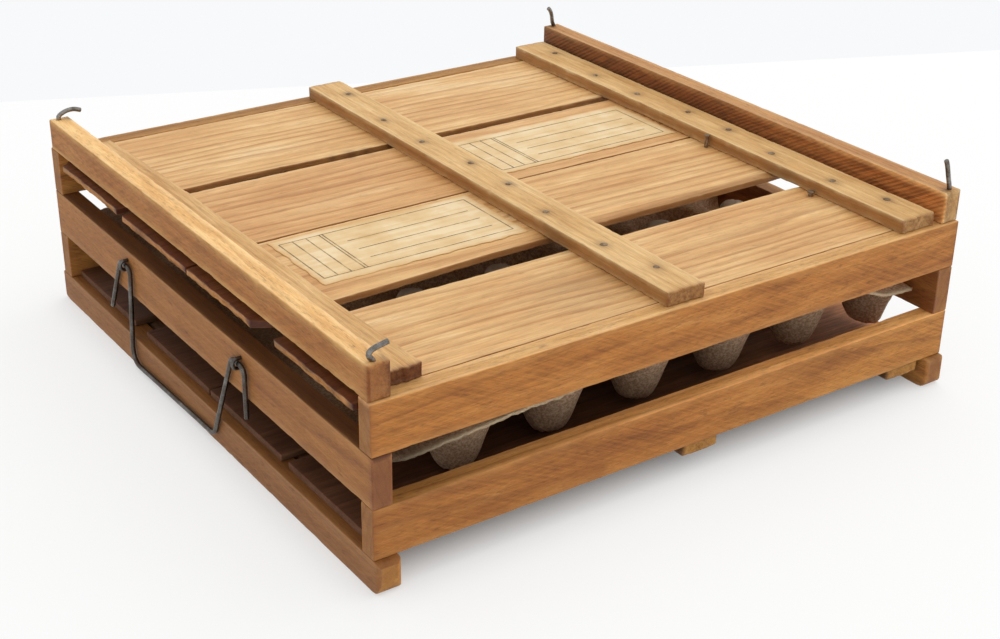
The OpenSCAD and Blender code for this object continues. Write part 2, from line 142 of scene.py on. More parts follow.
def newPiece(name, points, faces, material, attributes=None):
    # points in mm; attributes are one number or one vector for each point
    mesh = bpy.data.meshes.new(name)
    mesh.from_pydata((np.asarray(points) * mm).tolist(), [], faces)
    for key, values in (attributes or {}).items():
        values = np.asarray(values, np.float32)
        vector = values.ndim == 2
        attribute = mesh.attributes.new(key, "FLOAT_VECTOR" if vector else "FLOAT", "POINT")
        attribute.data.foreach_set("vector" if vector else "value", values.ravel())
    shape = bmesh.new()
    shape.from_mesh(mesh)
    bmesh.ops.recalc_face_normals(shape, faces=shape.faces)
    shape.to_mesh(mesh)
    shape.free()
    mesh.polygons.foreach_set("use_smooth", np.ones(len(mesh.polygons), bool))
    mesh.materials.append(material)
    piece = bpy.data.objects.new(name, mesh)
    scene.collection.objects.link(piece)
    return piece


def fit(piece, body, slot, *nodes):
    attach(piece, body)
    if nodes:
        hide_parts(*nodes)


def solidMiddles(node):
    # middle in x and y of each separate solid of a node, in mm
    corners = np.array([v.co for v in frame["nodes"][node].data.vertices]) / mm
    middles = []
    while len(corners):
        near = np.hypot(*(corners - corners[0])[:, :2].T) < nails["spread"]
        middles.append((corners[near].min(0) + corners[near].max(0))[:2] / 2)
        corners = corners[~near]
    return np.array(middles)


# Woods. Old softwood, bare and handled for years: rings, fibres, grime, worn edges and pale breaks.
# A bar's "grain" attribute is its own place in the log, in mm: along the fibres, then across from the pith.

def woodMaterial(name, look):
    material, tree = newMaterial(name)
    grain = put(tree, "ShaderNodeAttribute", attribute_name="grain")
    along = (grain, "Vector")

    def grainNoise(sizes, detail=3.0, rough=0.55, shift=0.0):
        # noise with bumps of these sizes in mm, along and across the fibres
        scaled = put(tree, "ShaderNodeVectorMath", {0: along, 1: (1 / sizes[0], 1 / sizes[1], 1 / sizes[1]),
                     2: (shift, shift, shift)}, operation="MULTIPLY_ADD")
        return put(tree, "ShaderNodeTexNoise", {"Vector": scaled, "Scale": 1.0, "Detail": detail,
                   "Roughness": rough})

    # growth rings around the pith, wandering along the length
    flat = put(tree, "ShaderNodeVectorMath", {0: along, 1: (0, 1, 1)}, operation="MULTIPLY")
    radius = put(tree, "ShaderNodeVectorMath", {0: flat}, operation="LENGTH")
    wander = grainNoise((look["ringRun"], look["ringRun"] / 6), detail=2.0)
    phase = put(tree, "ShaderNodeMath", {0: wander, 1: look["ringWander"], 2: (radius, "Value")},
                operation="MULTIPLY_ADD")
    phase = put(tree, "ShaderNodeMath", {0: phase, 1: look["ringWidth"]}, operation="DIVIDE")
    ring = put(tree, "ShaderNodeMath", {0: phase}, operation="FRACT")
    late = put(tree, "ShaderNodeValToRGB", {0: ring}, stops=look["ringStops"])
    number = put(tree, "ShaderNodeMath", {0: phase}, operation="FLOOR")
    vary = put(tree, "ShaderNodeTexWhiteNoise", {"W": number}, noise_dimensions="1D")
    vary = put(tree, "ShaderNodeMapRange", {"Value": (vary, "Value"), "To Min": 0.3, "To Max": 1.0})
    late = put(tree, "ShaderNodeMath", {0: late, 1: vary}, operation="MULTIPLY")

    # broad patches, streaks, fibres and fine dark pores
    patch = grainNoise(look["patch"], detail=4.0, rough=0.6)
    streak = grainNoise(look["streak"], detail=4.0, rough=0.65, shift=17.0)
    fibre = grainNoise(look["fibre"], detail=4.0, rough=0.7, shift=5.0)
    pore = grainNoise(look["pore"], detail=2.0, rough=0.6, shift=43.0)
    tone = put(tree, "ShaderNodeAttribute", attribute_name="tone")
    mixed = put(tree, "ShaderNodeMath", {0: streak, 1: look["streakGain"], 2: (tone, "Fac")},
                operation="MULTIPLY_ADD")
    mixed = put(tree, "ShaderNodeMath", {0: patch, 1: look["patchGain"], 2: mixed}, operation="MULTIPLY_ADD")
    centred = woodShared["middle"] - (look["streakGain"] + look["patchGain"]) / 2
    mixed = put(tree, "ShaderNodeMath", {0: mixed, 1: centred}, operation="ADD")
    colour = put(tree, "ShaderNodeValToRGB", {0: mixed}, stops=look["tones"])
    ringMix = put(tree, "ShaderNodeMath", {0: late, 1: look["ringDepth"]}, operation="MULTIPLY")
    colour = put(tree, "ShaderNodeMix", {"Factor": ringMix, "A": colour, "B": hexColour(look["late"])},
                 data_type="RGBA")
    lines = put(tree, "ShaderNodeMapRange", {"Value": fibre, "From Min": 0.32, "From Max": 0.68,
                "To Min": look["fibreDark"], "To Max": 1.1})
    colour = put(tree, "ShaderNodeMix", {"Factor": 1.0, "A": colour, "B": lines}, data_type="RGBA",
                 blend_type="MULTIPLY")
    pores = put(tree, "ShaderNodeMapRange", {"Value": pore, "From Min": 0.56, "From Max": 0.72,
                "To Max": look["poreDark"]})
    colour = put(tree, "ShaderNodeMix", {"Factor": pores, "A": colour, "B": hexColour(look["grime"])},
                 data_type="RGBA")

    # saw marks lean across the sides, plain in some places and rubbed out in others
    side = put(tree, "ShaderNodeAttribute", attribute_name="side")
    marks = None
    if look.get("sawPitch"):
        lean = math.radians(look["sawLean"])
        pitch = look["sawPitch"]
        length = woodShared["sawLength"]
        ahead = (math.cos(lean) / pitch, 0, -math.sin(lean) / pitch)
        aside = (math.sin(lean) / length, woodShared["sawDrift"], math.cos(lean) / length)
        across = put(tree, "ShaderNodeVectorMath", {0: along, 1: ahead}, operation="DOT_PRODUCT")
        down = put(tree, "ShaderNodeVectorMath", {0: along, 1: aside}, operation="DOT_PRODUCT")
        place = put(tree, "ShaderNodeCombineXYZ", {0: (across, "Value"), 1: (down, "Value")})
        marks = put(tree, "ShaderNodeTexNoise", {"Vector": place, "Scale": 1.0, "Detail": 2.0})
        if look.get("ridge"):      # a circular saw leaves even ridges, a little bowed
            bow = put(tree, "ShaderNodeMath", {0: wander, 1: look["ridgeBow"]}, operation="MULTIPLY")
            turns = put(tree, "ShaderNodeMath", {0: (across, "Value"), 1: 2 * math.pi, 2: bow},
                        operation="MULTIPLY_ADD")
            wave = put(tree, "ShaderNodeMath", {0: turns}, operation="SINE")
            marks = put(tree, "ShaderNodeMath", {0: wave, 1: look["ridge"], 2: marks},
                        operation="MULTIPLY_ADD")
        shade = put(tree, "ShaderNodeMapRange", {"Value": marks, "From Min": 0.36, "From Max": 0.62,
                    "To Min": look["sawDark"], "To Max": 1.05})
        plain = put(tree, "ShaderNodeMapRange", {"Value": patch, "From Min": 0.4, "From Max": 0.62,
                    "To Min": 1.0, "To Max": look["sawLeast"]})
        plain = put(tree, "ShaderNodeMath", {0: plain, 1: (side, "Fac")}, operation="MULTIPLY")
        colour = put(tree, "ShaderNodeMix", {"Factor": plain, "A": colour, "B": shade}, data_type="RGBA",
                     blend_type="MULTIPLY")

    # painted shade: the sides are darker and browner than the tops, partly dirt
    face = put(tree, "ShaderNodeMix", {"Factor": (side, "Fac"), "A": [*look["top"], 1],
               "B": [*look["side"], 1]}, data_type="RGBA")
    colour = put(tree, "ShaderNodeMix", {"Factor": 1.0, "A": colour, "B": face}, data_type="RGBA",
                 blend_type="MULTIPLY")

    # grime lies in flecks, the edges are rubbed pale in places, ends and nail stains are dark
    fleck = grainNoise(woodShared["fleck"], detail=5.0, rough=0.7, shift=31.0)
    fleck = put(tree, "ShaderNodeMapRange", {"Value": fleck, "From Min": 0.58, "From Max": 0.76,
                "To Max": look["fleck"]})
    colour = put(tree, "ShaderNodeMix", {"Factor": fleck, "A": colour, "B": hexColour(look["grime"])},
                 data_type="RGBA")
    rub = grainNoise(woodShared["rub"], detail=4.0, rough=0.65, shift=57.0)
    for key, shade, strength, source in (("wear", look["worn"], look["wearDepth"], rub),
                                         ("ends", look["end"], look["endDepth"], streak),
                                         ("stain", look["grime"], woodShared["stainDepth"], streak)):
        amount = put(tree, "ShaderNodeAttribute", attribute_name=key)
        broken = put(tree, "ShaderNodeMapRange", {"Value": source, "From Min": 0.36, "From Max": 0.62,
                     "To Min": woodShared["least"] * strength, "To Max": strength})
        amount = put(tree, "ShaderNodeMath", {0: (amount, "Fac"), 1: broken}, operation="MULTIPLY",
                     use_clamp=True)
        colour = put(tree, "ShaderNodeMix", {"Factor": amount, "A": colour, "B": hexColour(shade)},
                     data_type="RGBA")

    # each face of each piece has its own tint, mostly painted light and shade, some of it the wood's own
    # colour
    tint = put(tree, "ShaderNodeAttribute", attribute_name="tint")
    colour = put(tree, "ShaderNodeMix", {"Factor": 1.0, "A": colour, "B": (tint, "Color")}, data_type="RGBA",
                 blend_type="MULTIPLY")

    # relief: hard late rings, open fibres and saw marks
    height = put(tree, "ShaderNodeMath", {0: late, 1: look["ringRelief"], 2: fibre}, operation="MULTIPLY_ADD")
    if marks:
        marks = put(tree, "ShaderNodeMath", {0: marks, 1: plain}, operation="MULTIPLY")
        height = put(tree, "ShaderNodeMath", {0: marks, 1: woodShared["sawRelief"], 2: height},
                     operation="MULTIPLY_ADD")
    bump = put(tree, "ShaderNodeBump", {"Height": height, "Strength": look["relief"],
               "Distance": woodShared["depth"] * mm})
    spread = woodShared["roughSpread"]
    rough = put(tree, "ShaderNodeMapRange", {"Value": fibre, "To Min": look["rough"] + spread,
                "To Max": look["rough"] - spread})
    shader = put(tree, "ShaderNodeBsdfPrincipled", {"Base Color": colour, "Roughness": rough, "Normal": bump,
                 "IOR": 1.5, "Specular IOR Level": 0.35})
    put(tree, "ShaderNodeOutputMaterial", {"Surface": shader})
    return material


# what all woods share: the middle of the tones on a ramp, sizes of flecks and rubbed places in mm along and
# across, length and drift of saw marks, how dark stains are, the least of a broken mark, and the relief
woodShared = {
    "middle": 0.675, "fleck": (9, 2.2), "rub": (16, 4), "sawLength": 30.0, "sawDrift": 0.05,
    "stainDepth": 0.9, "least": 0.35, "sawRelief": 1.6, "depth": 0.4, "roughSpread": 0.1,
}
softRings = [(0.0, 0.0), (0.45, 0.12), (0.8, 1.0), (0.9, 0.9), (1.0, 0.0)]
sharpRings = [(0.0, 0.0), (0.55, 0.1), (0.88, 1.0), (0.95, 1.0), (1.0, 0.0)]

# planed pine lid boards: honey gold, broad soft rings, slightly shiny from handling, long edges darker with
# painted shade
lidBoardLook = {
    "tones": [(0.2, "#b87f42"), (0.5, "#d5a062"), (0.8, "#e5b87a"), (1.05, "#efcb95")],
    "late": "#ab7138", "worn": "#e8c68e", "end": "#dcb684", "grime": "#6d4522",
    "ringWidth": 5.5, "ringRun": 190.0, "ringWander": 16.0, "ringStops": softRings, "ringDepth": 0.66,
    "patch": (70, 22), "patchGain": 1.1, "streak": (60, 3), "streakGain": 0.8, "fibre": (18, 0.8),
    "fibreDark": 0.8, "pore": (9, 0.6), "poreDark": 0.22, "fleck": 0.4, "wearDepth": 0.5, "endDepth": 0.9,
    "ringRelief": 0.9, "relief": 0.4, "rough": 0.55, "top": (1, 1, 1), "side": (0.62, 0.5, 0.42),
}
# planed battens: straight close grain, pale rubbed edges, sides darkened with painted shade
battenLook = dict(lidBoardLook, **{
    "tones": [(0.2, "#b27c3e"), (0.5, "#d0a060"), (0.8, "#e2b87a"), (1.05, "#eeca92")],
    "late": "#a9753c", "worn": "#edd09a", "end": "#7a4a20", "grime": "#5a3a20",
    "ringWidth": 2.6, "ringRun": 220.0, "ringWander": 7.0, "ringDepth": 0.34,
    "patch": (50, 14), "patchGain": 1.0, "streak": (50, 2.0), "fibre": (14, 0.7), "fibreDark": 0.78,
    "wearDepth": 0.55, "endDepth": 0.8, "ringRelief": 0.5, "rough": 0.6, "side": (0.56, 0.41, 0.29),
})
# sawn slats and runners: orange brown, saw marks left as cut, dull with dust on top
slatLook = {
    "tones": [(0.15, "#6f3f1c"), (0.45, "#a4682f"), (0.75, "#c3853f"), (1.1, "#d59d58")],
    "late": "#784419", "worn": "#cf9c5c", "end": "#8c5634", "grime": "#4a2a16",
    "ringWidth": 4.2, "ringRun": 150.0, "ringWander": 10.0, "ringStops": sharpRings, "ringDepth": 0.4,
    "patch": (60, 8), "patchGain": 1.0, "streak": (24, 1.5), "streakGain": 0.55, "fibre": (5, 0.45),
    "fibreDark": 0.82, "pore": (5, 0.6), "poreDark": 0.4, "fleck": 0.7, "sawPitch": 1.05, "sawLean": -65.0,
    "sawDark": 0.76, "sawLeast": 0.3, "wearDepth": 0.5, "endDepth": 0.6, "ringRelief": 0.4, "relief": 0.35,
    "rough": 0.65, "top": (0.74, 0.8, 0.86), "side": (1, 1, 1),
}
# rails: planed on top, the top partly rubbed bright and partly painted light, the sides browner, partly
# painted shade
railLook = dict(slatLook, **{
    "tones": [(0.15, "#95602c"), (0.45, "#bd8649"), (0.75, "#d5a464"), (1.1, "#e8c083")],
    "late": "#96602d", "worn": "#efcd96", "end": "#8f5c30", "sawPitch": 1.8, "sawDark": 0.86,
    "wearDepth": 0.6, "top": (1.1, 1.1, 1.1), "side": (0.72, 0.58, 0.52),
})
# right rail: left as sawn on its inner face
sawnRailLook = dict(railLook, **{
    "sawPitch": 1.9, "sawLean": -60.0, "sawDark": 0.5, "sawLeast": 0.7, "ridge": 0.13, "ridgeBow": 14.0,
})
# slats on the handled side: saw marks rubbed out, smoother and dusty
dustyLook = dict(slatLook, **{
    "patchGain": 0.65, "streakGain": 0.4, "sawDark": 0.92, "ringDepth": 0.25, "poreDark": 0.3,
})
# rough boards of the bottom, darker
bottomLook = dict(slatLook, **{
    "tones": [(0.15, "#3c2618"), (0.45, "#543722"), (0.75, "#6c4a31"), (1.1, "#86634a")],
    "late": "#3e2817", "worn": "#7d5c40", "end": "#7a5434", "sawLean": 80.0, "wearDepth": 0.3,
    "top": (1, 1, 1),
})

pineLid = woodMaterial("planed_pine_lid", lidBoardLook)
pineBatten = woodMaterial("planed_pine_batten", battenLook)
sawnSlat = woodMaterial("sawn_pine_slat", slatLook)
dustySlat = woodMaterial("dusty_pine_slat", dustyLook)
rubbedRail = woodMaterial("rubbed_pine_rail", railLook)
sawnRail = woodMaterial("sawn_pine_rail", sawnRailLook)
roughBoard = woodMaterial("rough_pine_bottom", bottomLook)
print("woods ready")


# Bars and boards. Each is built along its own axes: s along, u across, v up. d is the way along it from its
# low end.

# nails: how far the points of one lie apart at most, reach and strength of a stain, the heads' size, lean and
# turn in radians, and how deep the heads are in the wood, deeper left of a place along x
nails = {
    "spread": 4.0, "stain": (3.2, 0.8), "headWidth": 3.8, "flatness": 0.3, "oval": 0.86, "lean": 0.14,
    "turn": 6.28, "scale": (0.88, 1.05), "driven": 0.1, "sunk": 0.75, "sunkBefore": -100.0, "seed": 7,
}
lidNails = solidMiddles("lid_nails")
bottomNails = solidMiddles("bottom_nails")
pinNodes = ["pin_front_left", "pin_front_right", "pin_back_left", "pin_back_right"]
pinFeet = {node: [(side[0] + side[1]) / 2 / mm for side in zip(*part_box(node))][:2] for node in pinNodes}


def barStations(length, step, endRound):
    # places along a bar, closer together at its rounded ends
    near = endRound * np.array([0, 0.12, 0.35, 0.65, 1.0])
    middle = np.linspace(endRound * 1.7, length - endRound * 1.7, max(3, round(length / step)))
    return np.concatenate([near, middle, (length - near)[::-1]])


# bumps and dents that all bars share: sizes in mm along and across, and shares. Each use of a bar's seed adds
# its own number, so that no two are alike
barWear = {
    "broadRag": 45, "fineRag": 3.5, "fineFrom": 0.3, "fineShare": 0.6, "chipFrom": 0.4, "chipGain": 2,
    "roundVary": 0.3, "roundRun": 25, "roundMost": 0.42, "sinkRun": 35, "sinkAround": 5, "endBumps": 2.5,
    "ragTall": 6, "ragReach": 4, "fineMottle": (2.6, 1.6), "broadMottle": (7, 3), "spotStretch": 2.2,
    "logGap": 400, "capShares": (0.8, 0.5, 0.2, 0.0), "weld": 0.002,
}


def roundedOff(d, length, radius):
    # how far a rounded end lies inside a square one
    fromEnd = np.minimum(d, length - d)
    arc = radius - np.sqrt(np.maximum(radius * radius - (radius - fromEnd) ** 2, 0))
    return np.where(fromEnd < radius, arc, 0)


def barSides(look, s, d, uEnds, vEnds):
    # the four sides at each station, drawn in by ragged edges and the bar's own marks, and the edges' radii
    seed, length = look["seed"], d[-1]
    inset = roundedOff(d, length, look["endRound"])

    def ragged(k):
        broad = np.maximum(bumps(s, k, barWear["broadRag"], 1, seed + 11 + k), 0)
        fine = np.maximum(bumps(s, k, barWear["fineRag"], 1, seed + 21 + k) - barWear["fineFrom"], 0)
        return broad * look["rag"] + fine * look["rag"] * barWear["fineShare"]
    sides = [uEnds[0] + inset + ragged(0), uEnds[1] - inset - ragged(1),
             vEnds[0] + inset, vEnds[1] - inset]
    if "marks" in look:
        cuts = look["marks"](s, d, length)
        sides = [side + sign * cut for side, sign, cut in zip(sides, (1, -1, 1, -1), cuts)]
    uLow, uHigh, vLow, vHigh = sides
    limit = barWear["roundMost"] * np.minimum(uHigh - uLow, vHigh - vLow)
    radii = []
    for k in range(4):
        chips = np.maximum(bumps(s, k, look["chipSize"], 1, seed + 31 + k) - barWear["chipFrom"], 0)
        vary = 1 + barWear["roundVary"] * bumps(s, k, barWear["roundRun"], 1, seed + 41 + k)
        radii.append(np.minimum(look["round"] * vary + chips * look["chip"] * barWear["chipGain"], limit))
    return sides, radii


def barRings(look, s, sides, radii):
    # one ring of points round each station: arcs at the corners, steps along the flats
    uLow, uHigh, vLow, vHigh = sides
    middles = [(uHigh - radii[0], vLow + radii[0]), (uHigh - radii[1], vHigh - radii[1]),
               (uLow + radii[2], vHigh - radii[2]), (uLow + radii[3], vLow + radii[3])]
    u, v, outU, outV, edge = [], [], [], [], []
    for k, steps in enumerate((look["vSteps"], look["uSteps"]) * 2):
        start = 90 * (k - 1)
        for angle in np.radians(start + np.linspace(0, 90, look["arcSteps"] + 1)):
            u.append(middles[k][0] + radii[k] * math.cos(angle))
            v.append(middles[k][1] + radii[k] * math.sin(angle))
            outU.append(math.cos(angle))
            outV.append(math.sin(angle))
            edge.append(np.ones_like(s))
        after = (k + 1) % 4
        leave = math.radians(start + 90)
        fromU, fromV = u[-1], v[-1]
        toU = middles[after][0] + radii[after] * math.cos(leave)
        toV = middles[after][1] + radii[after] * math.sin(leave)
        span = np.hypot(toU - fromU, toV - fromV)
        for t in np.arange(1, steps) / steps:
            u.append(fromU + (toU - fromU) * t)
            v.append(fromV + (toV - fromV) * t)
            outU.append(math.cos(leave))
            outV.append(math.sin(leave))
            edge.append(np.exp(-span * min(t, 1 - t) / look["wearReach"]))
    u, v, edge = np.array(u).T, np.array(v).T, np.array(edge).T
    outU, outV = np.array(outU), np.array(outV)
    around = np.arange(u.shape[1])[None, :]
    sunk = dents(s[:, None], around, barWear["sinkRun"], barWear["sinkAround"], look["seed"] + 3)
    sink = look["uneven"] * sunk
    return u - outU[None, :] * sink, v - outV[None, :] * sink, outU, outV, edge


def cappedBar(look, s, d, sEnds, u, v, edge):
    # the rings with closed ends that shrink to a point, rough where they were cut
    shares = barWear["capShares"]
    stations, count = u.shape
    fromEnd = np.minimum(d, d[-1] - d)
    points = [np.stack([np.repeat(s[:, None], count, 1), u, v], 2).reshape(-1, 3)]
    for side, inward in ((0, 1), (-1, -1)):
        ring = np.stack([u[side], v[side]], 1)
        centre = ring.mean(0)
        for share in shares:
            loop = centre + (ring - centre) * share
            size = barWear["endBumps"]
            rough = look["endRough"] * dents(*loop.T, size, size, look["seed"] + 51)
            points.append(np.column_stack([sEnds[side] + inward * rough, loop]))
    points = np.concatenate(points)
    caps = np.ones(len(points) - u.size)
    wear = np.concatenate([edge.ravel(), 0 * caps])
    ends = np.concatenate([np.repeat(np.exp(-fromEnd / look["endReach"]), count), caps])
    first, last = stations, stations + len(shares)
    order = [*range(last - 1, first - 1, -1), *range(stations), *range(last, last + len(shares))]
    return points, ringFaces(order, count), wear, ends


def barTint(look, p, q, w, sEnds, flank, upward, ends):
    # the piece's tint, one for each face with painted light and shade, mottled ends, and the rail's shadow
    # painted on a tongue's top and front near its end
    tint = np.tile(np.array(look["tint"], float), (len(p), 1))
    faceShares = {"lowSide": np.maximum(-flank, 0), "highSide": np.maximum(flank, 0),
                  "top": np.maximum(upward, 0),
                  "lowEnd": ends * (p < sEnds.mean()), "highEnd": ends * (p > sEnds.mean())}
    for key, colours in look["tints"].items():      # one colour, or several from the low end to the high end
        colours = np.atleast_2d(colours)
        stops = np.linspace(*sEnds, len(colours))
        colour = np.column_stack([np.interp(p, stops, channel) for channel in colours.T])
        tint *= 1 + faceShares[key][:, None] * (colour - 1)
    mottle = np.maximum(bumps(q, w, *barWear["fineMottle"], look["seed"] + 71), 0)
    mottle += np.maximum(bumps(q, w, *barWear["broadMottle"], look["seed"] + 72), 0)
    tint *= 1 - (look["endMottle"] * ends * np.minimum(mottle, 1))[:, None]
    # painted shadow of the rail on the tongue's top and front near its low end
    if "tongueShadow" in look:
        reach, strength = look["tongueShadow"]
        share = np.exp(-((p - sEnds[0]) / reach) ** 4) * np.maximum(np.maximum(upward, -flank), 0)
        tint *= 1 - share[:, None] * np.array(strength)
    return tint


def makeBar(name, look, material, body, slot):
    low, high = (np.array(corner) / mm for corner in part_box(name))
    alongX = look["along"] == "x"
    seed = look["seed"]
    sEnds = np.array([low[0], high[0]] if alongX else [low[1], high[1]])
    uEnds = np.array([low[1], high[1]] if alongX else [-high[0], -low[0]])
    vEnds = np.array([low[2], high[2]])
    sEnds = sEnds + np.array([-1, 1]) * look["longer"]
    length = sEnds[1] - sEnds[0]
    skew = 0.0
    if "width" in look:      # a batten nailed askew has a wider box than itself
        skew = (uEnds[1] - uEnds[0] - look["width"]) / length
        uEnds = uEnds.mean() + np.array([-0.5, 0.5]) * look["width"]
    d = barStations(length, look["step"], look["endRound"])
    s = sEnds[0] + d
    sides, radii = barSides(look, s, d, uEnds, vEnds)
    u, v, outU, outV, edge = barRings(look, s, sides, radii)
    points, faces, wear, ends = cappedBar(look, s, d, sEnds, u, v, edge)
    capped = np.zeros(len(points) - u.size)
    flank = np.concatenate([np.tile(outU, len(s)), capped])
    upward = np.concatenate([np.tile(outV, len(s)), capped])

    # torn ends, then the place in the log before the bar warps
    p, q, w = points.T
    for side, amount in enumerate(look["endRag"]):
        away = np.abs(p - sEnds[side])
        torn = dents(q, w, look["ragSize"], barWear["ragTall"], seed + 61 + side)
        pull = amount * torn * np.exp(-away / barWear["ragReach"])
        p = p + (pull if side == 0 else -pull)
    across = q - uEnds.mean() + look["pith"][0] + look["drift"] * (p - sEnds.mean())
    grain = np.column_stack([p + barWear["logGap"] * seed, across, w - vEnds.mean() + look["pith"][1]])
    tint = barTint(look, p, q, w, sEnds, flank, upward, ends)
    if "wane" in look:      # the top slopes away along the low side, brown as under bark
        wane = look["wane"]
        inward = np.clip((q - np.interp(p, s, sides[0])) / wane["width"], 0, 1)
        share = (1 - inward) * ease(p - crateMiddle, *wane["grows"]) * (upward > 0.5)
        w = w - wane["drop"] * share
        tint *= 1 + ease(share, 0, 0.5)[:, None] * (np.array(wane["tint"]) - 1)
    stain = np.zeros(len(p))
    for spot, reach, strength in look["spots"]:
        spotS, spotU = (spot[0], spot[1]) if alongX else (spot[1], -spot[0])
        away = (p - spotS) ** 2 / barWear["spotStretch"] + (q - skew * (p - sEnds.mean()) - spotU) ** 2
        stain = np.maximum(stain, strength * np.exp(-away / reach ** 2))
    if "droop" in look:
        w = w - look["droop"] * ease(-(p - crateMiddle), -tongue["from"], -tongue["to"])
    if "dip" in look:
        w = w - np.interp(p, *look["dip"])
    q = q - skew * (p - sEnds.mean())
    places = np.column_stack([p, q, w] if alongX else [-q, p, w])
    piece = newPiece(name + "_wood", places, faces, material, {
        "grain": grain, "wear": wear * look["rubbed"], "ends": ends, "stain": stain,
        "tone": np.full(len(p), look["tone"]), "side": np.abs(flank), "tint": tint,
    })
    shape = bmesh.new()
    shape.from_mesh(piece.data)
    bmesh.ops.remove_doubles(shape, verts=shape.verts, dist=barWear["weld"] * mm)
    shape.to_mesh(piece.data)
    shape.free()
    fit(piece, body, slot, name)


barBase = {
    "along": "x", "step": 2.5, "longer": (0, 0), "arcSteps": 3, "uSteps": 4, "vSteps": 7, "round": 0.45,
    "chip": 0.4, "chipSize": 4.0, "rag": 0.06, "uneven": 0.06, "wearReach": 1.2, "rubbed": 1.0,
    "endRound": 0.5, "endRough": 0.5, "endReach": 1.2, "endRag": (0, 0), "ragSize": 2.2, "endMottle": 0.0,
    "pith": (30, -45), "drift": 0.01, "tone": 0.0, "tint": (1, 1, 1), "tints": {}, "spots": [],
}
runnerToe = {"radius": 5.0, "low": 0.85, "top": 0.12}      # worn to shares of a round, below and on top


def toeMarks(s, d, length):
    # worn lower corners, and a little off the upper ones
    worn = roundedOff(d, length, runnerToe["radius"])
    return 0, 0, worn * runnerToe["low"], worn * runnerToe["top"]


frameBars = {
    # left runner: painted shade on the outer side and the top, the front end a little lighter
    "left_runner": {"along": "y", "seed": 1, "tone": 0.02, "pith": (25, 40), "marks": toeMarks,
                    "endRound": 1.6, "tints": {"highSide": (0.66, 0.66, 0.96), "lowEnd": (1.2, 1.22, 1.04),
                                               "top": (0.62, 0.5, 0.42)}},
    "right_runner": {"along": "y", "seed": 2, "tone": -0.02, "pith": (-30, 35), "marks": toeMarks,
                     "endRound": 1.6},
    # front bottom slat: painted light growing towards the right on its front and top
    "front_bottom_slat": {"seed": 3, "tone": 0.03, "pith": (60, 14), "drift": 0.03,
                          "tints": {"lowSide": [(0.8, 0.69, 0.62), (0.9, 0.78, 0.66), (1.06, 1.02, 0.92)],
                                    "top": [(0.95, 0.92, 0.9), (1.6, 1.55, 1.8), (2.3, 2.3, 2.8),
                                            (2.4, 2.6, 3.3)]}},
    "back_bottom_slat": {"seed": 4, "tone": -0.05, "pith": (-50, 20)},
    # left middle slat: painted shade on the outer side, the front end and the top
    "left_middle_slat": {"along": "y", "seed": 5, "tone": -0.06, "pith": (55, -20),
                         "tints": {"highSide": (0.82, 0.8, 0.92), "lowEnd": (0.8, 0.72, 0.84),
                                   "top": (0.38, 0.29, 0.24)}},
    # right middle slat: painted shade on the inner side
    "right_middle_slat": {"along": "y", "seed": 6, "tone": -0.1, "pith": (40, 22),
                          "tints": {"highSide": (0.68, 0.6, 0.66)}},
    "front_top_slat": {"seed": 7, "tone": 0.05, "pith": (45, -22), "drift": 0.02,
                       "tints": {"lowSide": (0.92, 0.8, 0.68), "top": (1.58, 1.82, 2.5)}},
    "back_top_slat": {"seed": 8, "tone": 0.0, "pith": (-40, 25)},
}
for node, own in frameBars.items():
    makeBar(node, dict(barBase, **own), dustySlat if "left" in node else sawnSlat, "crate", "frame_wood")
railBars = {
    # left rail: the top painted lighter, the outer side browner with painted shade, the front end darker
    "left_top_rail": {"along": "y", "seed": 9, "tone": 0.12, "pith": (18, -40), "round": 0.6, "chip": 0.6,
                      "tints": {"highSide": (0.89, 0.75, 0.51), "lowEnd": (0.62, 0.45, 0.34),
                                "top": (1.12, 1.12, 1.12)}},
    # right rail: the inner side painted light at the front, fading to painted shade towards the back, and the
    # front end painted lighter
    "right_top_rail": {"along": "y", "seed": 10, "tone": -0.08, "pith": (-35, 16), "tint": (0.8, 0.72, 0.7),
                       "tints": {"highSide": [(1.9, 1.75, 1.42), (0.92, 0.78, 0.62), (0.76, 0.68, 0.55)],
                                 "lowEnd": (1.42, 1.85, 2.28)}},
}
railPins = {"left_top_rail": pinNodes[0::2], "right_top_rail": pinNodes[1::2]}
pinStain = (2.6, 0.9)      # reach and strength
for node, own in railBars.items():
    holes = [(pinFeet[pin], *pinStain) for pin in railPins[node]]
    look = dict(barBase, spots=holes, endRound=0.8, vSteps=6, **own)
    makeBar(node, look, sawnRail if "right" in node else rubbedRail, "crate", "rail_wood")
print("frame and rails built")

boardBase = dict(barBase, endRound=0.35, round=0.4, chip=0.5, rag=0.4, uSteps=30, vSteps=3, uneven=0.2,
                 endReach=2.0)
tongue = {"from": -135.0, "to": -166.0, "longer": 4.5}
# edges of the lid boards: places along x from the crate's middle, and what is lost there
lidEdges = {
    "backCorner": ((-166, -157), (11.0, 0)),
    "taper": ((-167.5, -159, -131, 18), (8.5, 2.5, 0.3, 6.0)),
    "wider": 0.7,
}


def frontEdge(s, d, length):
    # the front board closes up to the slat
    return -lidEdges["wider"], 0, 0, 0


def backCorner(s, d, length):
    # the tongue of board 1 stops short of the corner
    return 0, np.interp(s - crateMiddle, *lidEdges["backCorner"]), 0, 0


def taper(s, d, length):
    # board 3 was sawn narrower towards the right, and its tongue has lost a corner
    return np.interp(s - crateMiddle, *lidEdges["taper"]), 0, 0, 0


